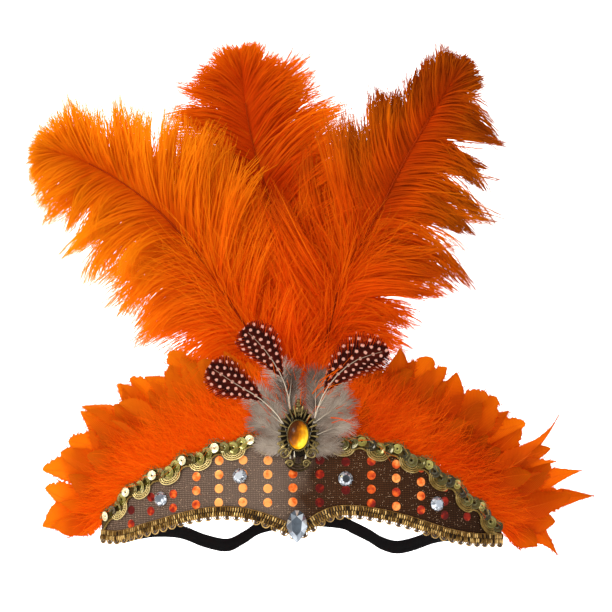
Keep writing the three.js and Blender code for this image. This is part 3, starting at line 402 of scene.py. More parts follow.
def grid_faces(rows, columns, strands=1, ring=True, loop=False):
    """Quads over grids of points. ring closes each row, and loop joins the last row to the first."""
    row = np.arange(rows if loop else rows - 1)[:, None]
    column = np.arange(columns if ring else columns - 1)
    beside = (column + 1) % columns
    here, ahead = row * columns, (row + 1) % rows * columns
    quads = np.stack([here + column, here + beside, ahead + beside, ahead + column], axis=-1)
    first = np.arange(strands)[:, None, None] * rows * columns
    return (first + quads.reshape(-1, 4)).reshape(-1, 4)


def add_piece(name, mesh, materials, replaces=None):
    for material in materials:
        mesh.materials.append(material)
    piece = bpy.data.objects.new(name, mesh)
    bpy.context.scene.collection.objects.link(piece)
    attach(piece, "root")
    if replaces:
        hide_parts(replaces)


class Shape:
    """Vertices, faces and the per-vertex values that materials read."""

    def __init__(self):
        self.points, self.faces, self.finishes, self.values, self.count = [], [], [], {}, 0

    def add_faces(self, faces, material):
        self.faces.append(faces)
        self.finishes.append(np.full(len(faces), material, np.int32))

    def add(self, points, faces, material=0, **values):
        points = points.reshape(-1, 3)
        self.add_faces(faces + self.count, material)
        self.points.append(points)
        for name in sorted({*self.values, *values}):
            column = np.asarray(values.get(name, 0.0), float).reshape(-1)
            self.values.setdefault(name, [np.zeros(self.count)])
            self.values[name].append(np.broadcast_to(column, len(points)))
        self.count += len(points)

    def add_rings(self, rings, material=0, **values):
        """A closed skin over rings (ring, corner, xyz), with a centre point at both ends."""
        count, sides = rings.shape[:2]
        base, middle = self.count, count * sides
        points = np.concatenate([rings.reshape(-1, 3), rings[[0, -1]].mean(axis=1)])
        self.add(points, grid_faces(count, sides), material, **values)
        corner = np.arange(sides)
        for centre, first, flip in ((middle, 0, 1), (middle + 1, middle - sides, -1)):
            fan = [np.full(sides, centre), first + (corner + 1) % sides, first + corner]
            self.add_faces(base + np.stack(fan[::flip], axis=-1), material)

    def add_strands(self, points, material, values, loop=False):
        """Flat or round strands (strand, step, corner, xyz), with values for each step."""
        strands, steps, corners = points.shape[:3]
        spread = {key: np.repeat(np.broadcast_to(value, (strands, steps)).reshape(-1), corners)
                  for key, value in values.items()}
        faces = grid_faces(steps, corners, strands, ring=corners > 2, loop=loop)
        self.add(points, faces, material, **spread)

    def build(self, name, materials, replaces=None, smooth=True):
        mesh = bpy.data.meshes.new(name)
        points = lean_back(np.concatenate(self.points)).astype(np.float32)
        corners = np.concatenate([faces.reshape(-1) for faces in self.faces]).astype(np.int32)
        sizes = np.concatenate([np.full(len(faces), faces.shape[1]) for faces in self.faces])
        starts = np.concatenate([[0], np.cumsum(sizes)[:-1]]).astype(np.int32)
        mesh.vertices.add(len(points))
        mesh.vertices.foreach_set("co", points.reshape(-1))
        mesh.loops.add(len(corners))
        mesh.loops.foreach_set("vertex_index", corners)
        mesh.polygons.add(len(sizes))
        mesh.polygons.foreach_set("loop_start", starts)
        mesh.polygons.foreach_set("material_index", np.concatenate(self.finishes))
        for key, columns in self.values.items():
            layer = mesh.attributes.new(key, "FLOAT", "POINT")
            layer.data.foreach_set("value", np.concatenate(columns).astype(np.float32))
        mesh.update(calc_edges=True)
        mesh.validate()
        mesh.polygons.foreach_set("use_smooth", np.full(len(mesh.polygons), smooth))
        add_piece(name, mesh, materials, replaces)


def ribbons(shape, paths, widths, facing, material=0, **values):
    """Ribbons along paths (strand, step, xyz), as broad as widths, with their flat side to facing."""
    across = unit(np.cross(unit(np.gradient(paths, axis=1)), np.broadcast_to(facing, paths.shape)))
    half = np.broadcast_to(widths, paths.shape[:2])[..., None] / 2 * across
    shape.add_strands(np.stack([paths - half, paths + half], axis=2), material, values)


def tubes(shape, paths, radii, sides, material=0, loop=False, **values):
    """Round cords along paths (strand, step, xyz)."""
    if loop:
        ahead = unit(np.roll(paths, -1, axis=1) - np.roll(paths, 1, axis=1))
    else:
        ahead = unit(np.gradient(paths, axis=1))
    side = unit(np.cross(ahead, FORWARD))
    other = np.cross(side, ahead)
    turn = circle(sides)[:, None]
    ring = side[:, :, None] * np.cos(turn) + other[:, :, None] * np.sin(turn)
    points = paths[:, :, None] + ring * np.broadcast_to(radii, paths.shape[:2])[..., None, None]
    shape.add_strands(points, material, values, loop)


# Materials: colours are display values from 0 to 255

# inner sets the Emission Strength: on feathers a painted glow, on the floor an even brightness
SHADER_SOCKETS = {
    "roughness": "Roughness", "specular": "Specular IOR Level", "metallic": "Metallic",
    "coat": "Coat Weight", "coat_roughness": "Coat Roughness", "inner": "Emission Strength",
}


def srgb(red, green, blue):
    def linear(value):
        value /= 255
        return value / 12.92 if value <= 0.04045 else ((value + 0.055) / 1.055) ** 2.4
    return linear(red), linear(green), linear(blue), 1.0


class Look:
    """A material in the making: its nodes, its main shader and its output."""

    def __init__(self, name, **finish):
        self.material = bpy.data.materials.new(name)
        self.material.use_nodes = True
        self.tree = self.material.node_tree
        self.tree.nodes.clear()
        self.output = self.node("ShaderNodeOutputMaterial")
        self.shader = self.node("ShaderNodeBsdfPrincipled")
        self.tree.links.new(self.shader.outputs["BSDF"], self.output.inputs["Surface"])
        for key, value in finish.items():
            self.shader.inputs[SHADER_SOCKETS[key]].default_value = value

    def node(self, kind, settings=None, **inputs):
        """A node with its settings, whose inputs are other nodes' outputs, colours or numbers."""
        node = self.tree.nodes.new(kind)
        for key, value in (settings or {}).items():
            setattr(node, key, value)
        for key, value in inputs.items():
            socket = node.inputs[int(key[1:]) if key[1:].isdigit() else key]
            if isinstance(value, bpy.types.NodeSocket):
                self.tree.links.new(value, socket)
            else:
                socket.default_value = srgb(*value) if isinstance(value, tuple) else value
        return node

    def calc(self, operation, a, b=0.0, clamp=False):
        settings = {"operation": operation, "use_clamp": clamp}
        return self.node("ShaderNodeMath", settings, i0=a, i1=b).outputs[0]

    def plus(self, a, b, clamp=False):
        return self.calc("ADD", a, b, clamp)

    def minus(self, a, b):
        return self.calc("SUBTRACT", a, b)

    def times(self, a, b, clamp=False):
        return self.calc("MULTIPLY", a, b, clamp)

    def remap(self, value, start, end, low=0.0, high=1.0):
        return self.node("ShaderNodeMapRange", i0=value, i1=start, i2=end, i3=low, i4=high).outputs[0]

    def mix(self, share, a, b):
        settings = {"data_type": "RGBA", "clamp_factor": True}
        return self.node("ShaderNodeMix", settings, i0=share, i6=a, i7=b).outputs[2]

    def ramp(self, factor, stops):
        """A colour ramp: stops are (place, colour)."""
        node = self.node("ShaderNodeValToRGB", Fac=factor)
        elements = node.color_ramp.elements
        while len(elements) < len(stops):
            elements.new(0.5)
        for element, (place, colour) in zip(elements, stops):
            element.position = place
            element.color = srgb(*colour)
        return node.outputs["Color"]

    def attribute(self, name):
        return self.node("ShaderNodeAttribute", {"attribute_name": name}).outputs["Fac"]

    def place(self, kind="Object"):
        return self.node("ShaderNodeTexCoord").outputs[kind]

    def noise(self, scale, detail=2.0, kind="Object"):
        node = self.node("ShaderNodeTexNoise", Vector=self.place(kind), Scale=scale, Detail=detail)
        return node.outputs["Fac"]

    def uneven(self, scale, amount, detail=2.0, kind="Object"):
        """Noise about zero."""
        return self.times(self.minus(self.noise(scale, detail, kind), 0.5), amount)

    def ribs(self, direction, scale, distortion, detail=2.0):
        settings = {"wave_type": "BANDS", "bands_direction": direction}
        node = self.node("ShaderNodeTexWave", settings, Vector=self.place(), Scale=scale,
                         Distortion=distortion, Detail=detail)
        return node.outputs["Fac"]

    def bump(self, height, strength, distance):
        node = self.node("ShaderNodeBump", Height=height, Strength=strength, Distance=distance)
        self.tree.links.new(node.outputs["Normal"], self.shader.inputs["Normal"])

    def paint(self, colour):
        """Joins the colour to the shader and gives the material."""
        self.tree.links.new(colour, self.shader.inputs["Base Color"])
        return self.material


def feather_material(name, stops, shade, patches=(30.0, 1.4), lines=0.0, foot=None, inner=0.1):
    """Barbs: colour by place along the barb, with a shade for each barb and soft patches. On a
    closed vane, lines is the pitch of the barbs that show in it. The foot of a plume or fringe has
    its own colour. inner is the strength of a painted glow: the barbs emit their own colour, which
    lifts the shade between fine barbs."""
    look = Look(name, roughness=0.8, specular=0.05, inner=inner)
    colour = look.ramp(look.attribute("along"), stops)
    if foot:
        colour = look.mix(look.remap(look.attribute("place"), 0.62, 0.2, 0.0, 0.85), colour, foot)
    tone = look.plus(look.attribute("tone"), look.uneven(*patches, detail=3.0))
    if lines:
        slant = look.times(look.calc("ABSOLUTE", look.attribute("vane_x")), 0.5)
        phase = look.times(look.minus(look.attribute("vane_y"), slant), 2 * math.pi / lines)
        fine = look.calc("SINE", phase)
        tone = look.plus(tone, look.times(fine, 0.16))
        look.bump(fine, 0.5, 0.15 * MM)
    colour = look.mix(look.times(tone, -1.0, clamp=True), colour, shade[0])
    colour = look.mix(look.times(tone, 0.6, clamp=True), colour, shade[1])
    # Painted glow: the barbs emit their own colour, which lifts the shade between them
    look.tree.links.new(colour, look.shader.inputs["Emission Color"])
    through = look.node("ShaderNodeBsdfTranslucent", Color=colour).outputs[0]
    blend = look.node("ShaderNodeMixShader", i0=THROUGH_SHARE, i1=look.shader.outputs[0], i2=through)
    look.tree.links.new(blend.outputs[0], look.output.inputs["Surface"])
    return look.paint(colour)


def quill_material(name, foot, tip):
    look = Look(name, roughness=0.85, specular=0.05)
    return look.paint(look.ramp(look.attribute("along"), [(0.0, foot), (1.0, tip)]))


def toned_material(name, stops, noise, value="tone", spread=(1.0, 0.0), grain=0.0, **finish):
    """Colour by each piece's own tone, made uneven by noise (scale, amount, detail). spread says
    how the tone is stretched and shifted, and grain is the scale of a fine relief."""
    look = Look(name, **finish)
    tone = look.plus(look.attribute(value), look.uneven(*noise))
    share = look.plus(look.times(tone, spread[0]), spread[1], clamp=True)
    if grain:
        look.bump(look.noise(grain, 1.0), 0.5, 0.12 * MM)
    return look.paint(look.ramp(share, stops))


def gold_material(name, dark, mid, light, roughness=0.34, metallic=0.85):
    """Metal thread: each stitch has its own tone, with a fine grain of windings."""
    return toned_material(name, [(0.1, dark), (0.5, mid), (0.9, light)], (220.0, 1.6, 3.0),
                          spread=(0.5, 0.5), grain=1400.0, roughness=roughness, metallic=metallic)


def stone_material(name, dark, mid, light, roughness):
    """Foil-backed stone: every facet gets its own painted reflection, from dark to light."""
    return toned_material(name, [(0.0, dark), (0.45, mid), (1.0, light)], (180.0, 0.5), "facet",
                          metallic=0.6, roughness=roughness, coat=1.0, coat_roughness=0.02)


def cloth_material():
    """Dark glitter weave: fine threads, painted light and shade across the band (a lit left half with a
    painted highlight near the middle, a painted shadow just past it, deeper painted shade to the right) and
    small painted glints.
    """
    look = Look("glitter_weave", roughness=0.8, specular=0.1)
    split = look.node("ShaderNodeSeparateXYZ", Vector=look.place())
    across = look.remap(split.outputs["X"], -0.13, 0.13)
    share = look.plus(across, look.uneven(45.0, 0.16, 4.0))
    # Painted light and shade from left to right: a painted highlight just left of the middle, a sharp painted
    # shadow past it, then darker brown
    colour = look.ramp(share, [(0.0, (54, 36, 26)), (0.42, (84, 68, 58)), (0.5, (68, 52, 42)),
                               (0.54, (34, 20, 10)), (0.64, (44, 24, 10)), (1.0, (20, 8, 1))])
    weave = look.times(look.ribs("X", 290.0, 2.5), look.ribs("Z", 250.0, 2.5))
    # Painted sheen on the threads: pale on the lit left half, brown to the right, and weaker towards the
    # right
    thread = look.ramp(share, [(0.48, (164, 138, 116)), (0.54, (128, 76, 34))])
    painted_sheen = look.minus(0.62, look.times(across, 0.42))
    colour = look.mix(look.times(weave, painted_sheen), colour, thread)
    # Painted glints: sparse pale flecks in the base colour
    fleck = look.node("ShaderNodeTexVoronoi", Vector=look.place(), Scale=2200.0)
    chance = look.node("ShaderNodeSeparateColor", i0=fleck.outputs["Color"]).outputs[0]
    near = look.calc("LESS_THAN", fleck.outputs["Distance"], 0.42)
    painted_glint = look.times(look.calc("GREATER_THAN", chance, 0.965), near)
    look.bump(weave, 0.6, 0.25 * MM)
    return look.paint(look.mix(painted_glint, colour, (206, 170, 136)))


def amber_material():
    """Amber over foil, with painted light: painted shade at the upper left, a painted glow through the stone
    at the lower right.
    """
    look = Look("amber", roughness=0.2, specular=0.1, coat=0.05, coat_roughness=0.03)
    split = look.node("ShaderNodeSeparateXYZ", Vector=look.place("Generated"))
    slant = look.minus(look.times(split.outputs["X"], 1.3), look.times(split.outputs["Z"], 0.9))
    share = look.plus(look.plus(slant, 0.25), look.uneven(3.2, 0.9, kind="Generated"), clamp=True)
    return look.paint(look.ramp(share, [(0.0, (66, 28, 0)), (0.4, (150, 78, 0)),
                                        (0.72, (220, 148, 6)), (1.0, (252, 214, 50))]))


def elastic_material():
    """Flat woven elastic: fine ribs along the strap."""
    look = Look("black_elastic_weave", roughness=0.9, specular=0.15)
    relief = look.times(look.ribs("Z", 360.0, 0.6), look.noise(900.0))
    look.bump(relief, 0.5, 0.2 * MM)
    return look.paint(look.ramp(relief, [(0.0, (3, 3, 4)), (1.0, (18, 17, 18))]))


def spotted_material():
    """Guinea-fowl vane: pale round spots in staggered rows on dark maroon."""
    look = Look("spotted_vane", roughness=0.85, specular=0.05)
    x = look.calc("DIVIDE", look.attribute("vane_x"), SPOT_SPACING)
    y = look.calc("DIVIDE", look.attribute("vane_y"), SPOT_ROWS)
    row = look.calc("FLOOR", y)
    odd = look.calc("MODULO", look.calc("ABSOLUTE", row), 2.0)
    x = look.plus(x, look.times(odd, 0.5))
    dx = look.minus(look.calc("FRACT", x), 0.5)
    dy = look.minus(look.minus(y, row), 0.5)
    apart = look.calc("SQRT", look.plus(look.times(dx, dx), look.times(dy, dy)))
    base = look.ramp(look.attribute("along"), [(0.0, (70, 14, 4)), (0.55, (34, 6, 3)), (1.0, (110, 24, 4))])
    dark = look.times(look.attribute("tone"), -2.0, clamp=True)
    base = look.mix(dark, base, (20, 7, 8))
    return look.paint(look.mix(look.remap(apart, 0.25, 0.18), base, (204, 144, 126)))


# Barbs and down

def either_side(rng, count):
    """Left or right by chance, as -1 or 1."""
    return np.where(rng.random(count) < 0.5, -1.0, 1.0)


def square_to(ahead, facing):
    """The part of facing that is square to the directions ahead."""
    return unit(facing - np.sum(ahead * facing, axis=1, keepdims=True) * ahead)


def walk(steps):
    """Paths from a common start that add up their steps (strand, step, xyz)."""
    run = np.cumsum(steps[:, :-1] + steps[:, 1:], axis=1) / 2
    return np.concatenate([np.zeros_like(run[:, :1]), run], axis=1)


def frizzed(paths, frizz, waves, rng):
    """Paths that each have a wave of their own, which grows towards the tip."""
    u = np.linspace(0, 1, paths.shape[1])
    swing = rng.normal(0, 1, (len(paths), 1, 3))
    pace = rng.uniform(*waves, (len(paths), 1))
    return paths + swing * np.sin(u * pace + 1)[..., None] * frizz * u[:, None]


def down(shape, roots, headings, lengths, rng, steps, width, curl, frizz, material=0, tone=0.0,
         front=-1.0, place=0.0):
    """Loose fine barbs from roots, that wander from their headings and stay behind the front."""
    count = len(roots)
    u = np.linspace(0, 1, steps)
    swerve = unit(rng.normal(0, 1, (count, 3)))
    ahead = unit(unit(headings)[:, None] + swerve[:, None] * curl * u[:, None] ** 1.2)
    run = np.cumsum(ahead, axis=1) - ahead[:, :1]
    paths = roots[:, None] + run * (lengths / (steps - 1))[:, None, None]
    paths = frizzed(paths, frizz, (5, 12), rng)
    paths[..., 1] = np.maximum(paths[..., 1], front)
    facing = unit(FORWARD + rng.normal(0, 0.6, (count, 3)))[:, None]
    widths = width * rng.uniform(0.6, 1.2, count)[:, None] * (1 - 0.7 * u)
    tones = tone + rng.normal(0, 0.2, count)
    ribbons(shape, paths, widths, facing, material, along=u, tone=tones[:, None],
            place=np.broadcast_to(place, count)[:, None])


def shaft(shape, rachis, radius, thin=0.75, lift=0.0):
    """A bare shaft that thins towards its tip and lies a little in front of the barbs."""
    place = np.linspace(0, 0.96, 12)
    points = sample(rachis, place) + lift * FORWARD
    tubes(shape, points[None], radius * (1 - thin * place), 5, 1, along=place)


def leaf(widest, start=0.0, peak=0.55, tip=0.06, point=0.75):
    """Half width along a leaf-shaped vane. A low point value makes a blunt tip."""
    def width(place):
        rise = np.clip((place - start) / (peak - start), 0, 1)
        fall = np.clip((1 - place) / (1 - peak), 0, 1)
        swell = np.sin(rise * math.pi / 2) ** 0.8 * np.sin(fall * math.pi / 2) ** point
        return widest * (swell + tip * rise * fall)
    return width


# Plumes

def barb_turns(turns, side, where):
    """Angles from the quill at a barb's root and tip. Near the quill's tip the barbs close up."""
    closing = np.sqrt(np.clip((1 - where) / FAN_SHARE, 0, 1)) * (1 + FAN_CROSS) - FAN_CROSS
    return [np.where(side < 0, left, right) * closing for left, right in zip(*turns)]


def fan_root(where):
    """Places along the quill where barbs are rooted: those of the tip's fan crowd together."""
    fan = 1 - FAN_SHARE
    return np.where(where > fan, fan + (where - fan) * FAN_FOOT, where)


def beside_quill(ahead, side):
    """Directions to one side of the quill, across the view from the front."""
    return np.stack([ahead[:, 2], 0 * ahead[:, 0], -ahead[:, 0]], axis=1) * side[:, None]


def plume_quill(name):
    """Points along the quill of a plume."""
    size = PLUMES[name]
    foot_depth = BAND_WALL + GAP + QUILL_DIAMETER / 2 - FRONT_TO_SEAT
    out, up, back = np.array(QUILLS[name]).T
    return curve_through(np.stack([
        size["foot"] + out * size["reach"],
        foot_depth + back * (size["back"] - BAND_WALL - QUILL_DIAMETER),
        QUILL_FOOT + up * size["rise"],
    ], axis=1), 200)


def plume_down(shape, size, quill, heading, rng):
    """Soft down round the foot of a plume."""
    count = size["down"]
    foot = rng.uniform(0.03, 0.5, count)
    side = either_side(rng, count)
    ahead = sample(heading, foot)
    aim = ahead + beside_quill(ahead, side) * rng.uniform(0.1, 1.0, (count, 1))
    aim += rng.normal(0, 0.25, (count, 3)) * np.array([1, 0.3, 1])
    aim[:, 1] -= size["forward"] * rng.random(count)
    reach = BARB_LENGTH * rng.uniform(0.4, 0.9, count) * (0.6 + 0.8 * foot)
    down(shape, sample(quill, foot), aim, reach, rng, steps=9, width=0.78 * MM, curl=0.7, frizz=1.5 * MM,
         tone=0.2, place=foot)


def plume(name, materials):
    size = PLUMES[name]
    rng = np.random.default_rng(size["seed"])
    quill = plume_quill(name)
    heading = unit(np.gradient(quill, axis=0))
    shape = Shape()
    place = np.linspace(0, 1 - FAN_SHARE * 0.9, 60)
    radius = QUILL_DIAMETER / 2 * SHAFT_SHARE * (1 - 0.85 * place ** 0.7)
    tubes(shape, sample(quill, place)[None] + SHAFT_FORWARD, radius, 6, 1, along=place, place=place)

    count = PLUME_BARBS
    side = either_side(rng, count)
    start = 0.04 + 0.95 * rng.random(count) ** 0.9
    layer = rng.uniform(-1, 1, count)

    # Barbs gather in tufts, each with its own turn, curl, length and lift
    joints = np.linspace(0, 1, TUFTS + 1)
    joints[1:-1] += rng.uniform(-0.48, 0.48, TUFTS - 1) / TUFTS
    spot = start + rng.normal(0, 0.2, count) / TUFTS
    tuft = np.clip(np.searchsorted(joints, spot) - 1, 0, TUFTS - 1)
    depth_group = np.digitize(layer, [-0.33, 0.33])
    loose = (side == size["loose"]) & (start > LOOSE_FROM)
    depth_group = np.where(loose, np.minimum(depth_group, 1), depth_group)
    key = tuft + TUFTS * ((side < 0).astype(int) + 2 * depth_group)
    keys = TUFTS * 6
    tuft_turn = rng.normal(0, TUFT_TURN, keys)[key]
    tuft_curl = rng.normal(0, TUFT_CURL, keys)[key]
    tuft_length = rng.uniform(0.88, 1.1, keys)[key]
    tuft_lift = rng.normal(0, TUFT_LIFT, keys)[key]
    pull = rng.uniform(0.3, 0.8, keys)[key]
    pull = np.where(loose, size["clump"] + 0.4 * pull, pull)
    tuft_length = np.where(loose, tuft_length ** 1.6, tuft_length)
    tuft_curl = np.where(loose, 1.3 * tuft_curl, tuft_curl)
    stray = rng.random(count) < np.where(loose, 0.08, 0.16)
    centre = (joints[tuft] + joints[tuft + 1]) / 2
    off_centre = np.abs(start - centre) * TUFTS
    u = np.linspace(0, 1, BARB_STEPS)

    def path(where, turn_noise, curl_noise, length, lift):
        root = fan_root(where)
        ahead = sample(heading, root)
        sideways = beside_quill(ahead, side)
        base, end = barb_turns(size["turns"], side, where)
        base, end = base + 0.5 * turn_noise, end + turn_noise
        turn = np.radians(base[:, None] + (end - base)[:, None] * u + curl_noise[:, None] * u ** 2)
        rise = np.radians(lift[:, None] + (LAYER_LIFT * layer)[:, None] * (1 - 1.3 * u))
        step = ahead[:, None] * np.cos(turn)[..., None] + sideways[:, None] * np.sin(turn)[..., None]
        step = step * np.cos(rise)[..., None]
        step[..., 1] -= np.sin(rise)
        step[..., 2] -= DROOP * u ** 1.6 * np.abs(step[..., 0])
        return sample(quill, root)[:, None] + walk(step) * (length / (BARB_STEPS - 1))[:, None, None]

    place, left, right = np.array(BARBS[name]).T
    reach = np.where(side < 0, np.interp(start, place, left), np.interp(start, place, right))
    base, end = barb_turns(size["turns"], side, start)
    spread = np.sin(np.radians(np.clip(0.5 * (base + end), 38, 80)))
    length = BARB_LENGTH * reach * OUTLINE_SHARE / spread * tuft_length * rng.uniform(0.78, 1.08, count)
    length *= 1 - 0.16 * np.minimum(off_centre, 1.2)

    # The tips of the last barbs lie on a dome round a point below the quill's tip
    above = size["dome"] - (1 - fan_root(start)) * path_length(quill)[-1]
    aim = np.radians(0.5 * (base + end))
    dome = np.sqrt(np.maximum(size["dome"] ** 2 - (above * np.sin(aim)) ** 2, 0)) - above * np.cos(aim)
    dome = (dome + DOME_MARGIN) * rng.uniform(0.84, 1.06, count)
    length = np.where(above > 0, np.minimum(np.maximum(length, 0.9 * dome), dome), length)

    # Each barb leans towards the middle of its tuft, apart from the stray ones
    own = path(start, tuft_turn + rng.normal(0, 5, count), tuft_curl + rng.normal(0, 9, count), length,
               tuft_lift + rng.normal(0, 6, count))
    gathered = path(centre, tuft_turn, tuft_curl, length, tuft_lift)
    pull *= np.where(start > 1 - FAN_SHARE, 0.35, 1.0)
    weight = np.where(stray, 0.1, pull)[:, None] * np.clip((u - 0.2) / 0.8, 0, 1) ** 1.4
    paths = own * (1 - weight[..., None]) + gathered * weight[..., None]
    frizz = BARB_FRIZZ * (1 + 2 * np.clip(1 - start / 0.35, 0, 1))[:, None, None]
    paths = frizzed(paths, frizz, (4, 11), rng)
    behind = node_points("plume_center")[:, 1].max() + BARBS_BEHIND
    paths[..., 1] = np.minimum(paths[..., 1], behind)

    roll = rng.normal(0, 0.32, count)
    facing = np.stack([np.sin(roll) * 0.7, -np.cos(roll), np.sin(roll * 1.7) * 0.5], axis=1)[:, None]
    widths = BARB_WIDTH * rng.uniform(0.65, 1.1, count)[:, None] * (1 - 0.78 * u ** 1.5)
    tone = rng.normal(0, 0.12, count) + rng.normal(0, 0.1, keys)[key] - 0.12 * layer + 0.08
    tone = tone + size["tip_tone"] * np.clip((start - 0.62) / 0.2, 0, 1)
    ribbons(shape, paths, widths, facing, along=u, tone=tone[:, None], place=start[:, None])

    plume_down(shape, size, quill, heading, rng)
    shape.build(name + "_barbs", materials, replaces=name)


# Fringes

def blade(shape, rachis, facing, half_width, rng, roll, cup, fray, tone):
    """A smooth closed vane: cupped, rolled along its length, its edge waved, notched and frayed."""
    along = np.linspace(0, 1, BLADE_STATIONS) ** 0.75
    across = np.array([-1, -0.86, -0.55, -0.2, 0, 0.2, 0.55, 0.86, 1])
    line = sample(rachis, along)
    ahead = unit(np.gradient(line, axis=0))
    normal = square_to(ahead, facing)
    sideways = np.cross(ahead, normal)
    turn = roll * along[:, None]
    normal, sideways = (normal * np.cos(turn) + sideways * np.sin(turn),
                        sideways * np.cos(turn) - normal * np.sin(turn))
    width = half_width(along)[:, None] * np.ones(len(across))
    for side in (-1, 1):
        edge = 1 + 0.06 * np.sin(along * rng.uniform(6, 13) + rng.uniform(0, 6))
        edge -= 0.03 * rng.random(BLADE_STATIONS)
        for notch in rng.uniform(0.35, 0.95, 2):
            edge -= rng.uniform(0.04, 0.16) * np.exp(-((along - notch) / 0.016) ** 2)
        edge -= fray * 0.34 * rng.random(BLADE_STATIONS) ** 2 * np.clip((along - 0.62) / 0.3, 0, 1)
        outer = np.clip(np.abs(across) * np.sign(across * side), 0, 1) ** 3
        width = width * (1 + (edge[:, None] - 1) * outer)
    x = across * width
    wave = 0.05 * np.sin(along * rng.uniform(5, 10) + rng.uniform(0, 6))[:, None] * x
    depth = cup * across ** 2 * width * (0.4 + 0.6 * along[:, None]) + wave
    forward = np.abs(x) * 0.55 * (1 - along[:, None])
    points = (line[:, None] + sideways[:, None] * x[..., None] - normal[:, None] * depth[..., None]
              + ahead[:, None] * forward[..., None])
    shape.add(points, grid_faces(*x.shape, ring=False), along=along[:, None] + 0 * x, tone=tone,
              vane_x=x, vane_y=along[:, None] * path_length(line)[-1] + forward, place=1.0)

    # Loose ends of barbs that soften both edges
    for side, edge in ((-1, points[:, 0]), (1, points[:, -1])):
        spots = rng.integers(int(BLADE_STATIONS * 0.3), BLADE_STATIONS - 1, EDGE_BARBS)
        heading = ahead[spots] + side * sideways[spots] * rng.uniform(0.3, 0.8, (EDGE_BARBS, 1))
        lengths = rng.uniform(2.0, 5.5, EDGE_BARBS) * MM
        down(shape, edge[spots] - heading * 1.2 * MM, heading, lengths, rng, steps=4, width=0.5 * MM,
             curl=0.3, frizz=0.3 * MM, tone=tone, place=1.0)


def quarter_turn(vector):
    """A vector turned a quarter round, as seen from the front."""
    return np.array([-vector[2], 0, vector[0]])


def fringe_feather(shape, side, table, depth, spot, rng):
    """One feather of a fringe, in its row, rooted at a place from 0 to 1 along the fringe."""
    share, _, jitter, out_from_band, narrow = FRINGE_LAYERS[depth]
    length_share = share * rng.uniform(*((0.78, 1.06) if depth else (0.95, 1.02)))
    out, up, back, point, hook = (np.interp(spot, table[:, 0], table[:, k]) for k in range(1, 6))
    if depth:
        point, hook = rng.uniform(0.45, 0.9), rng.normal(0, 0.08)
    place = side * (FRINGE_START + (FRINGE_END - FRINGE_START) * spot)
    root = on_band(place, edge_height("top", place) - 1 * MM, out_from_band)
    reach = np.array([side * out, 0, up]) * HACKLE_LENGTH * length_share
    swing = math.radians(rng.normal(0, jitter))
    reach = reach * math.cos(swing) + quarter_turn(reach) * math.sin(swing)
    reach[1] = back * HACKLE_LENGTH * length_share
    tip = root + reach
    bow = rng.normal(0, 0.12) * quarter_turn(reach)
    middle = (root + tip) / 2 + bow + np.array([0, rng.uniform(0.5, 3) * MM, 5 * MM])
    s = np.linspace(0, 1, 24)[:, None]
    rachis = root * (1 - s) ** 2 + 2 * middle * s * (1 - s) + tip * s ** 2
    rachis = rachis + hook * side * s ** 4 * quarter_turn(reach)
    facing = unit(on_band(place, 0.0, 1.0) - on_band(place, 0.0, 0.0))
    facing = unit(facing + rng.normal(0, 0.25, 3))
    widest = HACKLE_WIDTH / 2 * narrow * rng.uniform(0.85, 1.2)
    # Tone of the feather: random, plus painted shade that darkens the rows behind the front row
    tone = rng.normal(0, 0.12) + 0.1 * (1 - depth)
    outline = leaf(widest, start=0.02, peak=0.62 if point < 1 else 0.4, tip=0.02, point=point)
    blade(shape, rachis, facing, outline, rng, roll=rng.normal(0, 0.5),
          cup=rng.uniform(0.15, 0.6), fray=1.0 if point < 0.7 else 0.3, tone=tone)
    shaft(shape, rachis, 0.32 * MM, lift=0.2 * MM)

    # A few downy barbs on both sides of its foot
    foot = np.repeat(rng.uniform(0.04, 0.5, FOOT_BARBS // 2), 2)
    sides = np.tile([-1.0, 1.0], FOOT_BARBS // 2)
    ahead = unit(tip - root)
    sideways = unit(np.cross(ahead, facing))
    heading = ahead + sideways * sides[:, None] * 0.8 + rng.normal(0, 0.2, (FOOT_BARBS, 3))
    down(shape, sample(rachis, foot), heading, widest * rng.uniform(0.9, 1.7, FOOT_BARBS), rng,
         steps=6, width=0.5 * MM, curl=0.4, frizz=0.7 * MM, tone=tone, place=1.0)


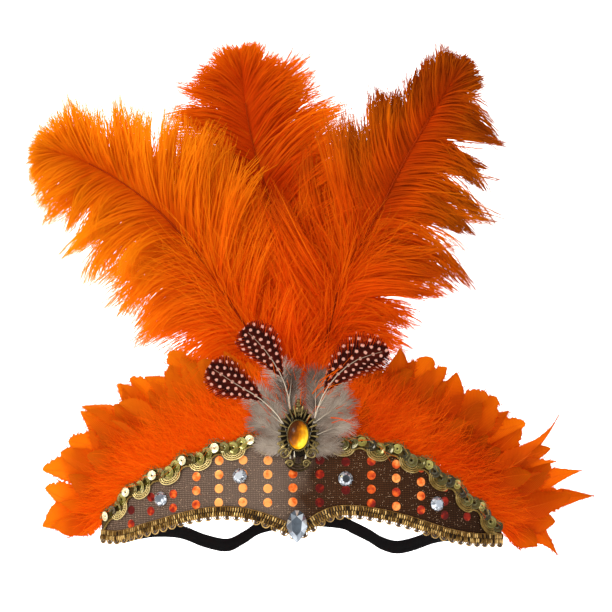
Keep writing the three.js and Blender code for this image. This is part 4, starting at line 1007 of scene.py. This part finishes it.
def fringe(name, side, seed, materials):
    rng = np.random.default_rng(seed)
    shape = Shape()
    table = np.array(FRINGES[name])
    for depth, (_, count, *_) in enumerate(FRINGE_LAYERS):
        for spot in (np.arange(count) + 0.4) / count if depth else table[:, 0]:
            fringe_feather(shape, side, table, depth, spot, rng)

    # Down that covers the feet of the feathers
    spot = rng.random(FRINGE_DOWN)
    first = 0.4 * FRINGE_START
    place = side * (first + (FRINGE_END - first) * spot)
    height = edge_height("top", place)
    layer = rng.uniform(-1, 1, FRINGE_DOWN)
    climb = (35 * rng.random(FRINGE_DOWN) ** 1.3 - 1) * MM * (1 - 0.55 * spot)
    roots = on_band(place, height - 1.5 * MM + climb, -2.4 * MM - layer * 1.6 * MM + climb * 0.12)
    out, up, back = (np.interp(spot, table[:, 0], table[:, k]) for k in (1, 2, 3))
    heading = np.stack([side * out, back - 0.12 - 0.1 * layer, up], axis=1)
    heading = unit(heading) + rng.normal(0, 0.34, (FRINGE_DOWN, 3)) * np.array([1, 0.5, 1])
    lengths = rng.uniform(12, 36, FRINGE_DOWN) * MM * (1 - 0.2 * spot)
    # tone 0.5 paints this down lighter: painted light that offsets the shade in its dense layer
    down(shape, roots, heading, lengths, rng, steps=6, width=0.46 * MM, curl=0.6, frizz=0.9 * MM,
         tone=0.5, front=-FRONT_TO_SEAT - 1.5 * MM)

    # Tape that holds them, behind the band's upper edge
    distance, places = EDGES["top"][:2]
    reach = np.sort(np.interp(side * np.array([FRINGE_START, FRINGE_END]), places, distance))
    tape_outer = -BAND_WALL - GAP
    slab(shape, "top", np.linspace(*reach, 60), -FRINGE_TAPE_BELOW, FRINGE_TAPE_PROUD,
         tape_outer - FRINGE_TAPE_WALL, tape_outer, 1)
    shape.build(name + "_feathers", materials, replaces=name)


# Spotted feathers

def spotted_vane(shape, rachis, facing, half_width, rng):
    """A vane of barbs lying side by side along a rachis. half_width gives its reach at places
    from 0 to 1. The vane_x and vane_y values run across and along the feather, in metres."""
    place = np.repeat(np.linspace(0.02, 0.985, VANE_BARBS), 2)
    side = np.tile([-1.0, 1.0], VANE_BARBS)
    count = len(place)
    ahead = sample(unit(np.gradient(rachis, axis=0)), place)
    normal = square_to(ahead, facing)
    sideways = unit(np.cross(ahead, normal)) * side[:, None]
    u = np.linspace(0, 1, VANE_STEPS)
    splits = np.cumsum(rng.normal(0, 1.3, count)) * 0.25 + rng.normal(0, 1.2, count)
    splits -= np.convolve(splits, np.ones(15) / 15, mode="same")
    root_turn, tip_turn = VANE_TURNS
    turn = np.radians(root_turn + (tip_turn - root_turn) * u + splits[:, None] * u * 2)
    bend = np.radians(VANE_CUP) * u
    step = ahead[:, None] * np.cos(turn)[..., None] + sideways[:, None] * np.sin(turn)[..., None]
    step = step - normal[:, None] * np.sin(bend)[:, None]
    reach = half_width(place) * (1 - VANE_RAGGED * rng.random(count))
    reach = reach / np.sin(np.radians(sum(VANE_TURNS) / 2))
    run = walk(step) * (reach / (VANE_STEPS - 1))[:, None, None]
    depth = normal[:, None] * rng.uniform(-0.2, 0.2, count)[:, None, None] * MM
    paths = sample(rachis, place)[:, None] + run + depth
    vane_x = side[:, None] * np.sin(turn) * reach[:, None] * u
    vane_y = place[:, None] * path_length(rachis)[-1] + np.cos(turn) * reach[:, None] * u
    tones = rng.normal(0, 0.1, count)
    ribbons(shape, paths, VANE_BARB_WIDTH * (1 - 0.55 * u ** 3), normal[:, None], along=u,
            tone=tones[:, None], vane_x=vane_x, vane_y=vane_y)


def guinea(name, seed, materials):
    rng = np.random.default_rng(seed)
    size = GUINEAS[name]
    middle_up = ORNAMENT_UP * BAND_HEIGHT
    layer = -FRONT_TO_SEAT - 3.8 * MM
    front = node_points("ornament")[:, 1].max() + GAP
    rachis = curve_through([(out * ORNAMENT_HEIGHT, layer, middle_up + up * ORNAMENT_HEIGHT)
                            for out, up in size["path"]], 80)
    shape = Shape()
    start = size["start"]
    vane = sample(rachis, np.linspace(start, 1.0, 40))
    widest = GUINEA_VANE_WIDTH / 2 * size["breadth"]
    spotted_vane(shape, vane, FORWARD, leaf(widest, peak=0.42, tip=0.12), rng)
    shaft(shape, rachis, 0.62 * MM, thin=0.7, lift=0.3 * MM)

    # Downy barbs on both sides of the foot of the quill
    count = GUINEA_DOWN
    foot = rng.uniform(0.02, start * 1.12, count)
    side = either_side(rng, count)
    ahead = sample(unit(np.gradient(rachis, axis=0)), foot)
    sideways = np.cross(ahead, FORWARD) * side[:, None]
    heading = ahead * 0.75 + sideways + rng.normal(0, 0.16, (count, 3))
    lengths = DOWN_LENGTH * 0.42 * rng.uniform(0.6, 1.15, count) * np.clip(0.5 + foot / start, 0, 1)
    down(shape, sample(rachis, foot), heading, lengths, rng, steps=5, width=0.4 * MM, curl=0.35,
         frizz=0.5 * MM, material=2, tone=0.25, front=front)

    # Loose tufts that fan out round the ornament, each with its own pale shaft
    count = GUINEA_TUFT_DOWN
    for at, turn, reach in size["down"]:
        root = sample(rachis, np.array([at]))[0]
        lean_out = math.radians(turn)
        tip = root + DOWN_LENGTH * reach * 0.85 * np.array([math.sin(lean_out), 0.0, math.cos(lean_out)])
        stem = root + (tip - root) * np.linspace(0, 1, 12)[:, None]
        shaft(shape, stem, 0.3 * MM, thin=0.6, lift=0.1 * MM)
        foot = rng.uniform(0.0, 1.0, count)
        angles = lean_out + either_side(rng, count) * rng.uniform(0.1, 0.75, count)
        heading = np.stack([np.sin(angles), rng.normal(-0.02, 0.07, count), np.cos(angles)], axis=1)
        lengths = DOWN_LENGTH * reach * rng.uniform(0.32, 0.6, count)
        shade = -0.65 if abs(turn) < 20 else rng.uniform(-0.2, 0.3)
        down(shape, sample(stem, foot), heading, lengths, rng, steps=5, width=0.5 * MM, curl=0.4,
             frizz=0.6 * MM, material=2, tone=shade, front=front)
    shape.build(name + "_feather", materials, replaces=name)


# Crescent

def foil_dots(material):
    shape = Shape()
    turn = circle(20)
    rng = np.random.default_rng(3)
    # Each dot's tone is its column's painted reflection, with a small random spread
    for length, lowest, count, bright in DOT_COLUMNS:
        for row in range(count):
            along, height = length * MM, lowest * MM + row * DOT_PITCH_UP
            rings = [on_band(along + DOT_DIAMETER / 2 * size * np.cos(turn),
                             height + DOT_DIAMETER / 2 * size * np.sin(turn), out * MM)
                     for size, out in DOT_RINGS]
            shape.add_rings(np.array(rings), tone=bright + rng.normal(0, 0.12))
    shape.build("foil_dots", [material], smooth=False)


def sequins(shape, places, directions, tilts, diameters, tones, material):
    """Cupped discs with a hole, each tilted about the line across the braid. directions holds the
    directions along the braid, across it and out of it."""
    turn = circle(18)[:, None]
    for centre, ahead, up, out, tilt, diameter, tone in zip(places, *directions, tilts, diameters, tones):
        flat = ahead * math.cos(tilt) + out * math.sin(tilt)
        proud = out * math.cos(tilt) - ahead * math.sin(tilt)
        radius = diameter / 2
        rings = [centre + radius * share * (np.cos(turn) * flat + np.sin(turn) * up)
                 - proud * depth * radius * 1.1 for share, depth in SEQUIN_RINGS]
        shape.add(np.array(rings), grid_faces(len(rings), len(turn)), material, tone=tone)


def slab(shape, edge, along, low, high, inner, outer, material):
    """A flat strip beside an edge."""
    corners = ((low, inner), (low, outer), (high, outer), (high, inner))
    rings = [beside_edge(edge, along, across, out) for across, out in corners]
    shape.add_rings(np.stack(rings, axis=1), material)


def cord(shape, edge, along, across, out, radius, sides, material=0, tone=0.0):
    """Round cords beside an edge, by distance along it, distance above it and distance out."""
    paths = beside_edge(edge, along, across, out)
    tubes(shape, paths.reshape(-1, *paths.shape[-2:]), radius, sides, material, tone=tone)


def braid_wave(along):
    return UPPER_BRAID_SWING * np.sin(2 * np.pi * along / UPPER_BRAID_WAVE) - UPPER_BRAID_DROP


def twisted_cord(shape, edge, across, out, radius, pitch, tone=0.0):
    """Two plies wound round each other along a braid. On the upper braid they follow its wave."""
    start, stop = CORD_END, EDGES[edge][0][-1] - CORD_END
    along = np.linspace(start, stop, int((stop - start) / pitch * 6))
    height = across + (braid_wave(along) if edge == "top" else 0)
    swing = radius * 0.6
    for phase in (0, math.pi):
        wind = 2 * np.pi * along / pitch + phase
        cord(shape, edge, along, height + swing * np.sin(wind), out + swing * np.cos(wind), radius * 0.62,
             5, tone=tone)


def directions_at(edge, along, across, out):
    """Directions along the braid, across it and out of it, at places beside an edge."""
    step = 0.5 * MM
    ahead = unit(beside_edge(edge, along + step, across, out) - beside_edge(edge, along - step, across, out))
    outward = unit(beside_edge(edge, along, across, out + 1 * MM) - beside_edge(edge, along, across, out))
    return ahead, unit(np.cross(outward, ahead)), outward


def upper_braid(materials):
    sequin, dark = 1, 2
    rng = np.random.default_rng(21)
    shape = Shape()
    total = EDGES["top"][0][-1]
    along = np.linspace(0.6 * MM, total - 0.6 * MM, 260)
    wave = braid_wave(along)
    slab(shape, "top", along, wave - 3.6 * MM, wave + 3.8 * MM, 0.35 * MM, 0.9 * MM, dark)

    # Twisted cords along both sides of the wave
    side = UPPER_BRAID_WIDTH / 2 - 0.5 * MM
    for sign in (-1, 1):
        twisted_cord(shape, "top", sign * side, 1.3 * MM, 0.55 * MM, 2.4 * MM)

    # Fans of laced cord in the low half of each wave: nested arcs, and rungs across them
    swing = np.linspace(0, math.pi, 15)
    for low in np.arange(0.75, total / UPPER_BRAID_WAVE, 1.0) * UPPER_BRAID_WAVE:
        if low > total - 6 * MM:
            continue
        top = braid_wave(low) + 1.2 * MM
        # Painted shade: the fans darken along the braid towards the right
        tone = 1.0 - 1.1 * low / total
        for reach, drop in FAN_ARCS:
            cord(shape, "top", low + reach * MM * np.cos(swing), top - drop * MM * np.sin(swing) ** 0.8,
                 1.5 * MM, 0.4 * MM, 5, tone=tone)
        for angle in np.linspace(0.12, 0.88, 9) * math.pi:
            reach, drop = FAN_RUNG * MM
            cord(shape, "top", low + reach * math.cos(angle), top - drop * math.sin(angle),
                 1.75 * MM, 0.24 * MM, 4, tone=tone - 0.2)

    # Sequins: in each wave a bright one where the braid rises, then olive ones that overlap
    pitch = UPPER_BRAID_WAVE / 4
    place = np.arange(pitch, total - pitch * 0.6, pitch)
    step = np.arange(1, len(place) + 1) % 4
    across_by_step, out_by_step, tone_by_step, size_by_step = SEQUIN_STEPS[:, step]
    bright = step == 1
    across = braid_wave(place) + across_by_step * MM
    out = (out_by_step + rng.normal(0, 0.08, len(place))) * MM
    tilts = np.where(bright, 0.0, 0.3) + rng.normal(0, 0.12, len(place))
    light = np.where(bright, 0.92, tone_by_step + rng.normal(0, 0.08, len(place)))
    # Painted shade: sequins on the right part of the braid are darker
    light += np.where(place > total * 0.55, -0.32, 0.02)
    sequins(shape, beside_edge("top", place, across, out), directions_at("top", place, across, out),
            tilts, SEQUIN_DIAMETER * size_by_step, light, sequin)

    # Fine picot loops along the upper edge
    loops = np.arange(2 * MM, total - 2 * MM, 2.7 * MM)[:, None]
    swing = np.linspace(-0.3, math.pi + 0.3, 10)
    height = rng.uniform(1.4, 3.0, loops.shape) * MM
    cord(shape, "top", loops + 1.15 * MM * np.cos(swing),
         braid_wave(loops) + side + 0.4 * MM + height * np.sin(swing), 1.1 * MM, 0.26 * MM, 4, tone=-0.1)
    shape.build("upper_braid_gimp", materials, replaces="upper_braid")


def lower_braid(materials):
    dark = 1
    rng = np.random.default_rng(22)
    shape = Shape()
    total = EDGES["bottom"][0][-1]
    along = np.linspace(0.3 * MM, total - 0.3 * MM, 220)
    slab(shape, "bottom", along, -0.2 * MM, TAPE_HEIGHT - 0.2 * MM, 0.35 * MM, 0.8 * MM, dark)

    # Upright loops in two rows, each a small swollen stitch
    bead = np.linspace(0, math.pi, 6)
    for shift, middle in enumerate(STITCH_ROWS):
        place = np.arange(0.9 * MM + 0.4 * MM * shift, total - 0.6 * MM, 1.62 * MM)[:, None]
        slant = rng.normal(0, 0.12, place.shape) * MM
        height = middle - STITCH_HEIGHT / 2 * np.cos(bead) + rng.normal(0, 0.08, place.shape) * MM
        cord(shape, "bottom", place + slant * np.cos(bead), height, 1.15 * MM + 0.45 * MM * np.sin(bead),
             0.58 * MM * np.sin(bead * 0.8 + 0.31), 6, tone=rng.normal(0.1, 0.5, place.shape))
    for height, out, radius, tone in LOWER_CORDS:
        twisted_cord(shape, "bottom", height * MM, out * MM, radius * MM, 1.6 * MM, tone=tone)

    # Picot loops, each round a smaller one and a dark knot
    count = int(round(total / PICOT_PITCH))
    middle = ((np.arange(count) + 0.5) * total / count)[:, None]
    swing = np.linspace(-0.25, math.pi + 0.25, 15)
    cord(shape, "bottom", middle + PICOT_PITCH * 0.42 * np.cos(swing),
         0.3 * MM - (PICOT_DEPTH + 0.1 * MM) * np.sin(swing), 1.2 * MM, 0.44 * MM, 5, tone=0.35)
    cord(shape, "bottom", middle + PICOT_PITCH * 0.2 * np.cos(swing),
         -0.1 * MM - 1.3 * MM * np.sin(swing), 1.9 * MM, 0.26 * MM, 4, tone=0.2)
    knot = np.linspace(0.12, math.pi - 0.12, 7)
    cord(shape, "bottom", middle, 0.2 * MM - 1.3 * MM * (1 - np.cos(knot)), 1.1 * MM,
         1.3 * MM * np.sin(knot), 8, dark)
    shape.build("lower_braid_loops", materials, replaces="lower_braid")


# Stones

def stone_corners(node, outline, rings):
    """Rings of corners over a CAD stone's back face. Each ring has its share of the outline, its
    share of the depth, its turn in steps and how many corners it has."""
    points = node_points(node)
    middle = (points.min(axis=0) + points.max(axis=0)) / 2
    forward = unit(np.array([middle[0], middle[1] - BEND_AXIS, 0]))
    right, up = np.array([-forward[1], forward[0], 0]), np.array([0, 0, 1.0])
    local = (points - middle) @ np.stack([right, up, forward], axis=1)
    width, height, thickness = local.max(axis=0) - local.min(axis=0)
    back = middle + forward * local[:, 2].min()
    for share, depth, turned, corners in rings:
        x, z = outline(2 * np.pi * (np.arange(corners) + turned) / corners)
        yield from (back + (x * width / 2 * share)[:, None] * right
                    + (z * height / 2 * share)[:, None] * up + forward * thickness * depth)


def faceted_stone(name, node, outline, rings, material):
    """A cut stone: the flat facets that close over its corners."""
    cut = bmesh.new()
    for point in stone_corners(node, outline, rings):
        cut.verts.new(lean_back(point))
    hull = bmesh.ops.convex_hull(cut, input=cut.verts)
    unused = {v for v in hull["geom_interior"] + hull["geom_unused"] if isinstance(v, bmesh.types.BMVert)}
    bmesh.ops.delete(cut, geom=list(unused), context="VERTS")
    bmesh.ops.dissolve_limit(cut, angle_limit=math.radians(2), verts=cut.verts, edges=cut.edges)
    bmesh.ops.split_edges(cut, edges=cut.edges)
    rng = np.random.default_rng(5)
    # Each facet gets a random value that the stone material turns into a painted reflection
    layer = cut.verts.layers.float.new("facet")
    for face in cut.faces:
        value = rng.random()
        for vertex in face.verts:
            vertex[layer] = value
    mesh = bpy.data.meshes.new(name)
    cut.to_mesh(mesh)
    cut.free()
    add_piece(name, mesh, [material], node)


def round_outline(turn):
    return np.cos(turn), np.sin(turn)


def pear(turn):
    """A round head above a pointed foot."""
    x, z = np.cos(turn), np.sin(turn)
    narrowing = np.where(z < 0, 1 - 0.62 * np.abs(z) ** 1.5, 1 - 0.06 * z)
    return x * narrowing, z


# Ornament

def ornament(materials):
    shape = Shape()
    half_width, half_height = ORNAMENT_WIDTH / 2, ORNAMENT_HEIGHT / 2
    middle = np.array([0.0, node_points("ornament")[:, 1].max(), ORNAMENT_UP * BAND_HEIGHT])

    def at(x, z, forward):
        x, z, forward = np.broadcast_arrays(x, z, forward)
        return middle + np.stack([x, -forward, z], axis=-1)

    def wire(x, z, forward, radius, sides=6, loop=False, tone=0.0):
        tubes(shape, at(x, z, forward)[None], radius, sides, loop=loop, tone=tone)

    def ball(x, z, forward, radius, tone=0.3):
        turn = np.linspace(0.1, math.pi - 0.1, 7)
        wire(x, z + radius * np.cos(turn), forward, radius * np.sin(turn), 8, tone=tone)

    # Scalloped back plate
    lift = 0.05 * half_height
    turn = circle(96)
    peak = 1 + 0.12 * np.maximum(0, np.sin(turn)) ** 6
    scallop = 1 - 0.05 * (1 + np.cos(24 * turn)) / 2
    rings = [at(half_width * size * scallop * np.cos(turn),
                half_height * size * 0.71 * scallop * peak * np.sin(turn) + lift, forward * MM)
             for size, forward in PLATE_RINGS]
    shape.add_rings(np.array(rings), tone=-0.6)

    # Gadroons from the stone's collar to the edge, each swelling to a round end
    for k in range(RAYS):
        a = 2 * math.pi * (k + 0.5) / RAYS
        if RAYLESS[0] < a < RAYLESS[1]:
            continue
        peak = 1 + 0.12 * max(0.0, math.sin(a)) ** 6
        r = np.linspace(0, 1, 7)
        x = half_width * (0.56 + 0.42 * r) * math.cos(a + 0.05 * math.cos(a))
        z = half_height * (0.43 + 0.27 * r) * peak * math.sin(a) + lift
        wire(x, z, (1.7 + 0.9 * np.sin(0.3 + r * 2.2)) * MM, (0.3 + 0.56 * r ** 0.8) * MM,
             tone=0.25 + 0.3 * (k % 2))
        ball(x[-1], z[-1], 2.0 * MM, 0.84 * MM, tone=0.4)

    # Collar round the stone, with a beaded rim
    turn = circle(48)
    wire(half_width * 0.53 * np.cos(turn), (half_height * 0.4 + 0.5 * MM) * np.sin(turn), 3.2 * MM,
         0.5 * MM, loop=True, tone=0.3)
    for a in circle(36):
        ball(half_width * 0.57 * math.cos(a), half_height * 0.445 * math.sin(a), 2.7 * MM, 0.36 * MM)

    # Finial: three beads above a small leaf
    for up, radius in FINIAL_BEADS:
        ball(0.0, up * half_height, 1.6 * MM, radius * half_height)
    r = np.linspace(0, 1, 8)
    for sign in (-1, 1):
        wire(sign * half_width * 0.3 * np.sin(r * math.pi), half_height * (0.56 + 0.24 * r),
             (1.9 + 0.5 * r) * MM, 0.5 * MM * (1 - 0.4 * r), tone=0.2)

    # Scrolls: a spiral on each side of the stone's foot, with a smaller one below and one above it
    for sign in (-1, 1):
        for out, up, size, turns in SCROLLS:
            a = np.linspace(0, 2 * math.pi * turns, 30)
            r = size * half_width * (1 - 0.72 * a / a[-1])
            wire(sign * (out * half_width + r * np.cos(a)), up * half_height + r * np.sin(a), 2.2 * MM,
                 0.75 * MM * (1 - 0.3 * a / a[-1]), tone=0.5)

    # Foot: nested arcs below the stone, and two bars that leave slots between them
    a = np.linspace(0, math.pi, 16)
    for reach, drop, radius in FOOT_ARCS:
        wire(half_width * reach * np.cos(a), -half_height * (0.68 + drop * np.sin(a)), 2.0 * MM, radius * MM)
    for sign in (-1, 1):
        wire(sign * half_width * 0.17 * np.array([1, 1.1, 1]), -half_height * np.array([0.6, 0.72, 0.84]),
             1.8 * MM, 0.5 * MM, tone=0.1)
    shape.build("ornament_casting", materials, replaces="ornament")


# Strap

def strap(material):
    shape = Shape()
    inside = -BAND_WALL - GAP - STRAP_THICKNESS / 2
    end = BAND_HALF_LENGTH - STRAP_END_INSET
    ends = [on_band(end - share * STRAP_END_LENGTH, STRAP_END_UP, inside) for share in (0, 0.5, 1)]
    left = [point * np.array([-1, 1, 1]) for point in ends]
    size = np.array([ends[0][0], STRAP_DEPTH, STRAP_WAVE])
    free = [np.array(point) * size for point in STRAP_PATH]
    path = curve_through(left + free + ends[::-1], 220)
    ahead = unit(np.gradient(path, axis=0))
    outward = unit(np.stack([ahead[:, 1], -ahead[:, 0], 0 * ahead[:, 0]], axis=1))
    up = np.array([0, 0, 1.0])
    rings = [path + outward * STRAP_THICKNESS / 2 * a + up * STRAP_WIDTH / 2 * b for a, b in STRAP_SECTION]
    shape.add_rings(np.stack(rings, axis=1))
    shape.build("elastic_loop", [material], replaces="elastic_strap")


# Assembly

plume_shade = ((190, 52, 0), (245, 149, 20))
shaft_red = quill_material("quill_red_brown", (115, 25, 0), (156, 48, 2))
plume("plume_left", [feather_material(
    "ostrich_yellow_orange",
    [(0.0, (214, 82, 0)), (0.4, (224, 114, 2)), (0.8, (233, 143, 8)), (1.0, (231, 143, 16))],
    plume_shade, foot=(233, 75, 0)), shaft_red])
plume("plume_center", [feather_material(
    "ostrich_deep_orange",
    [(0.0, (206, 63, 0)), (0.4, (215, 80, 0)), (0.8, (219, 99, 0)), (1.0, (208, 97, 4))],
    plume_shade, foot=(230, 64, 0)), shaft_red])
plume("plume_right", [feather_material(
    "ostrich_brown_tipped",
    [(0.0, (210, 66, 0)), (0.4, (215, 88, 0)), (0.75, (206, 101, 2)), (1.0, (124, 57, 8))],
    ((132, 38, 0), (239, 134, 12)), foot=(233, 78, 0)), shaft_red])

hackle_orange = feather_material(
    "hackle_orange", [(0.0, (236, 80, 0)), (0.5, (208, 76, 0)), (1.0, (196, 98, 4))],
    ((156, 34, 0), (246, 134, 10)), (22.0, 1.2), lines=1.1 * MM, foot=(228, 80, 0), inner=0.2)
hackle_deep = feather_material(
    "hackle_deep_orange", [(0.0, (240, 80, 0)), (0.5, (186, 56, 0)), (1.0, (178, 78, 0))],
    ((124, 24, 0), (236, 120, 10)), (22.0, 1.4), lines=1.1 * MM, foot=(214, 64, 0), inner=0.24)
shaft_orange = quill_material("quill_orange", (226, 104, 20), (206, 80, 6))
fringe("fringe_left", -1, 31, [hackle_orange, shaft_orange])
fringe("fringe_right", 1, 32, [hackle_deep, shaft_orange])

spotted = spotted_material()
shaft_pale = quill_material("quill_pale", (216, 206, 182), (120, 88, 72))
down_grey = feather_material(
    "grey_down", [(0.0, (204, 192, 176)), (0.6, (180, 164, 148)), (1.0, (146, 124, 106))],
    ((96, 72, 60), (236, 228, 216)), (60.0, 2.0))
for number, node in enumerate(GUINEAS):
    guinea(node, 41 + number, [spotted, shaft_pale, down_grey])

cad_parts["band"].data.materials.clear()
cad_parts["band"].data.materials.append(cloth_material())
# Orange foil: dark red for dots in painted shade, up to peach for dots with a painted reflection
foil_dots(toned_material(
    "orange_foil", [(0.0, (84, 10, 4)), (0.35, (156, 32, 6)), (0.65, (220, 92, 20)), (1.0, (248, 158, 82))],
    (260.0, 1.5), metallic=0.3, roughness=0.34, specular=0.2))
gold_cord = gold_material("gold_cord", (52, 38, 12), (140, 112, 54), (222, 200, 134))
gold_dark = gold_material("gold_tape", (34, 24, 8), (70, 54, 20), (120, 98, 44), roughness=0.5)
olive_sequin = toned_material(
    "olive_gold_sequin",
    [(0.0, (44, 36, 10)), (0.35, (96, 86, 26)), (0.65, (150, 140, 58)), (1.0, (240, 238, 190))],
    (160.0, 0.7), metallic=0.6, roughness=0.24, coat=0.5)
upper_braid([gold_cord, olive_sequin, gold_dark])
brown_knot = gold_material("brown_knot", (24, 12, 8), (44, 24, 16), (80, 50, 30), roughness=0.6, metallic=0.0)
gold_loop = gold_material("gold_loop", (38, 24, 6), (128, 92, 38), (222, 184, 112))
lower_braid([gold_loop, brown_knot])

smoky = stone_material("clear_stone_deep", (34, 40, 48), (104, 116, 128), (214, 222, 230), 0.06)
clear = stone_material("clear_stone", (44, 48, 54), (146, 154, 164), (240, 244, 248), 0.08)
for number in range(1, 5):
    faceted_stone(f"rhinestone_{number}_cut", f"rhinestone_{number}", round_outline,
                  RHINESTONE_RINGS, clear)
faceted_stone("peak_gem_cut", "peak_gem", pear, PEAR_RINGS, smoky)
faceted_stone("cabochon_cut", "cabochon", round_outline, CABOCHON_RINGS, amber_material())
ornament([toned_material(
    "antique_brass", [(0.05, (8, 5, 2)), (0.5, (46, 35, 15)), (0.95, (150, 130, 80))], (420.0, 1.1, 4.0),
    spread=(0.6, 0.5), metallic=0.9, roughness=0.36)])
strap(elastic_material())


# Floor, light and camera

FLOOR_DROP = 60 * MM
FLOOR_REACH = 6.0
FLOOR_FRONT, FLOOR_BEND, BACKDROP_RADIUS = -4.0, 2.6, 1.6
CAMERA_PLACE = (0.05755, -1.5489, 0.16208)
CAMERA_TURN = math.radians(2)
CAMERA_LENS = 135.75  # in millimetres, for a sensor 36 mm wide
LIGHTS = {  # place, target, size and power
    "key": ((-1.15, -1.15, 1.1), (0, 0, 0.15), 0.9, 27),
    "fill": ((1.4, -1.5, 0.6), (0, 0, 0.15), 1.4, 6),
    "back": ((0.2, 1.2, 1.4), (0, 0, 0.2), 1.2, 12),
    "backdrop": ((0, 1.0, 2.6), (0, 3.6, 0.4), 2.4, 110),
}
WORLD_LIGHT = 0.55


def stage():
    """A floor that bends up into the backdrop."""
    bottom = min(cad_box[0][2], 0) - FLOOR_DROP
    look = Look("pale_floor", roughness=0.9, inner=0.35)
    look.shader.inputs["Emission Color"].default_value = (1, 1, 1, 1)
    noise = look.node("ShaderNodeTexNoise", Scale=3.0).outputs["Fac"]
    sweep = [(FLOOR_FRONT, 0.0)]
    for a in np.linspace(0, math.pi / 2, 24):
        sweep.append((FLOOR_BEND + BACKDROP_RADIUS * math.sin(a), BACKDROP_RADIUS * (1 - math.cos(a))))
    sweep.append((FLOOR_BEND + BACKDROP_RADIUS, FLOOR_REACH))
    points = [(x, y, bottom + z) for y, z in sweep for x in (-FLOOR_REACH, FLOOR_REACH)]
    mesh = bpy.data.meshes.new("floor")
    mesh.from_pydata(points, [], grid_faces(len(sweep), 2, ring=False).tolist())
    mesh.polygons.foreach_set("use_smooth", [True] * len(mesh.polygons))
    mesh.materials.append(look.paint(look.ramp(noise, [(0.3, (250, 250, 250)), (0.7, (253, 253, 253))])))
    floor = bpy.data.objects.new("floor", mesh)
    bpy.context.scene.collection.objects.link(floor)


def area_light(name, place, target, size, power):
    light = bpy.data.lights.new(name, "AREA")
    light.shape = "DISK"
    light.size = size
    light.energy = power
    lamp = bpy.data.objects.new(name, light)
    lamp.location = place
    lamp.rotation_euler = (Vector(target) - Vector(place)).to_track_quat("-Z", "Y").to_euler()
    bpy.context.scene.collection.objects.link(lamp)


def camera():
    """The photograph's camera: straight on, two degrees to the right of the middle."""
    data = bpy.data.cameras.new("camera")
    data.sensor_width = 36
    data.lens = CAMERA_LENS
    view = bpy.data.objects.new("camera", data)
    view.location = CAMERA_PLACE
    view.rotation_euler = (math.pi / 2, 0, CAMERA_TURN)
    bpy.context.scene.collection.objects.link(view)
    bpy.context.scene.camera = view


bpy.context.scene.view_settings.view_transform = "Standard"
stage()
camera()
for name, settings in LIGHTS.items():
    area_light(name, *settings)
world = bpy.data.worlds.new("studio")
world.use_nodes = True
background = world.node_tree.nodes["Background"]
background.inputs["Color"].default_value = (1, 1, 1, 1)
background.inputs["Strength"].default_value = WORLD_LIGHT
bpy.context.scene.world = world
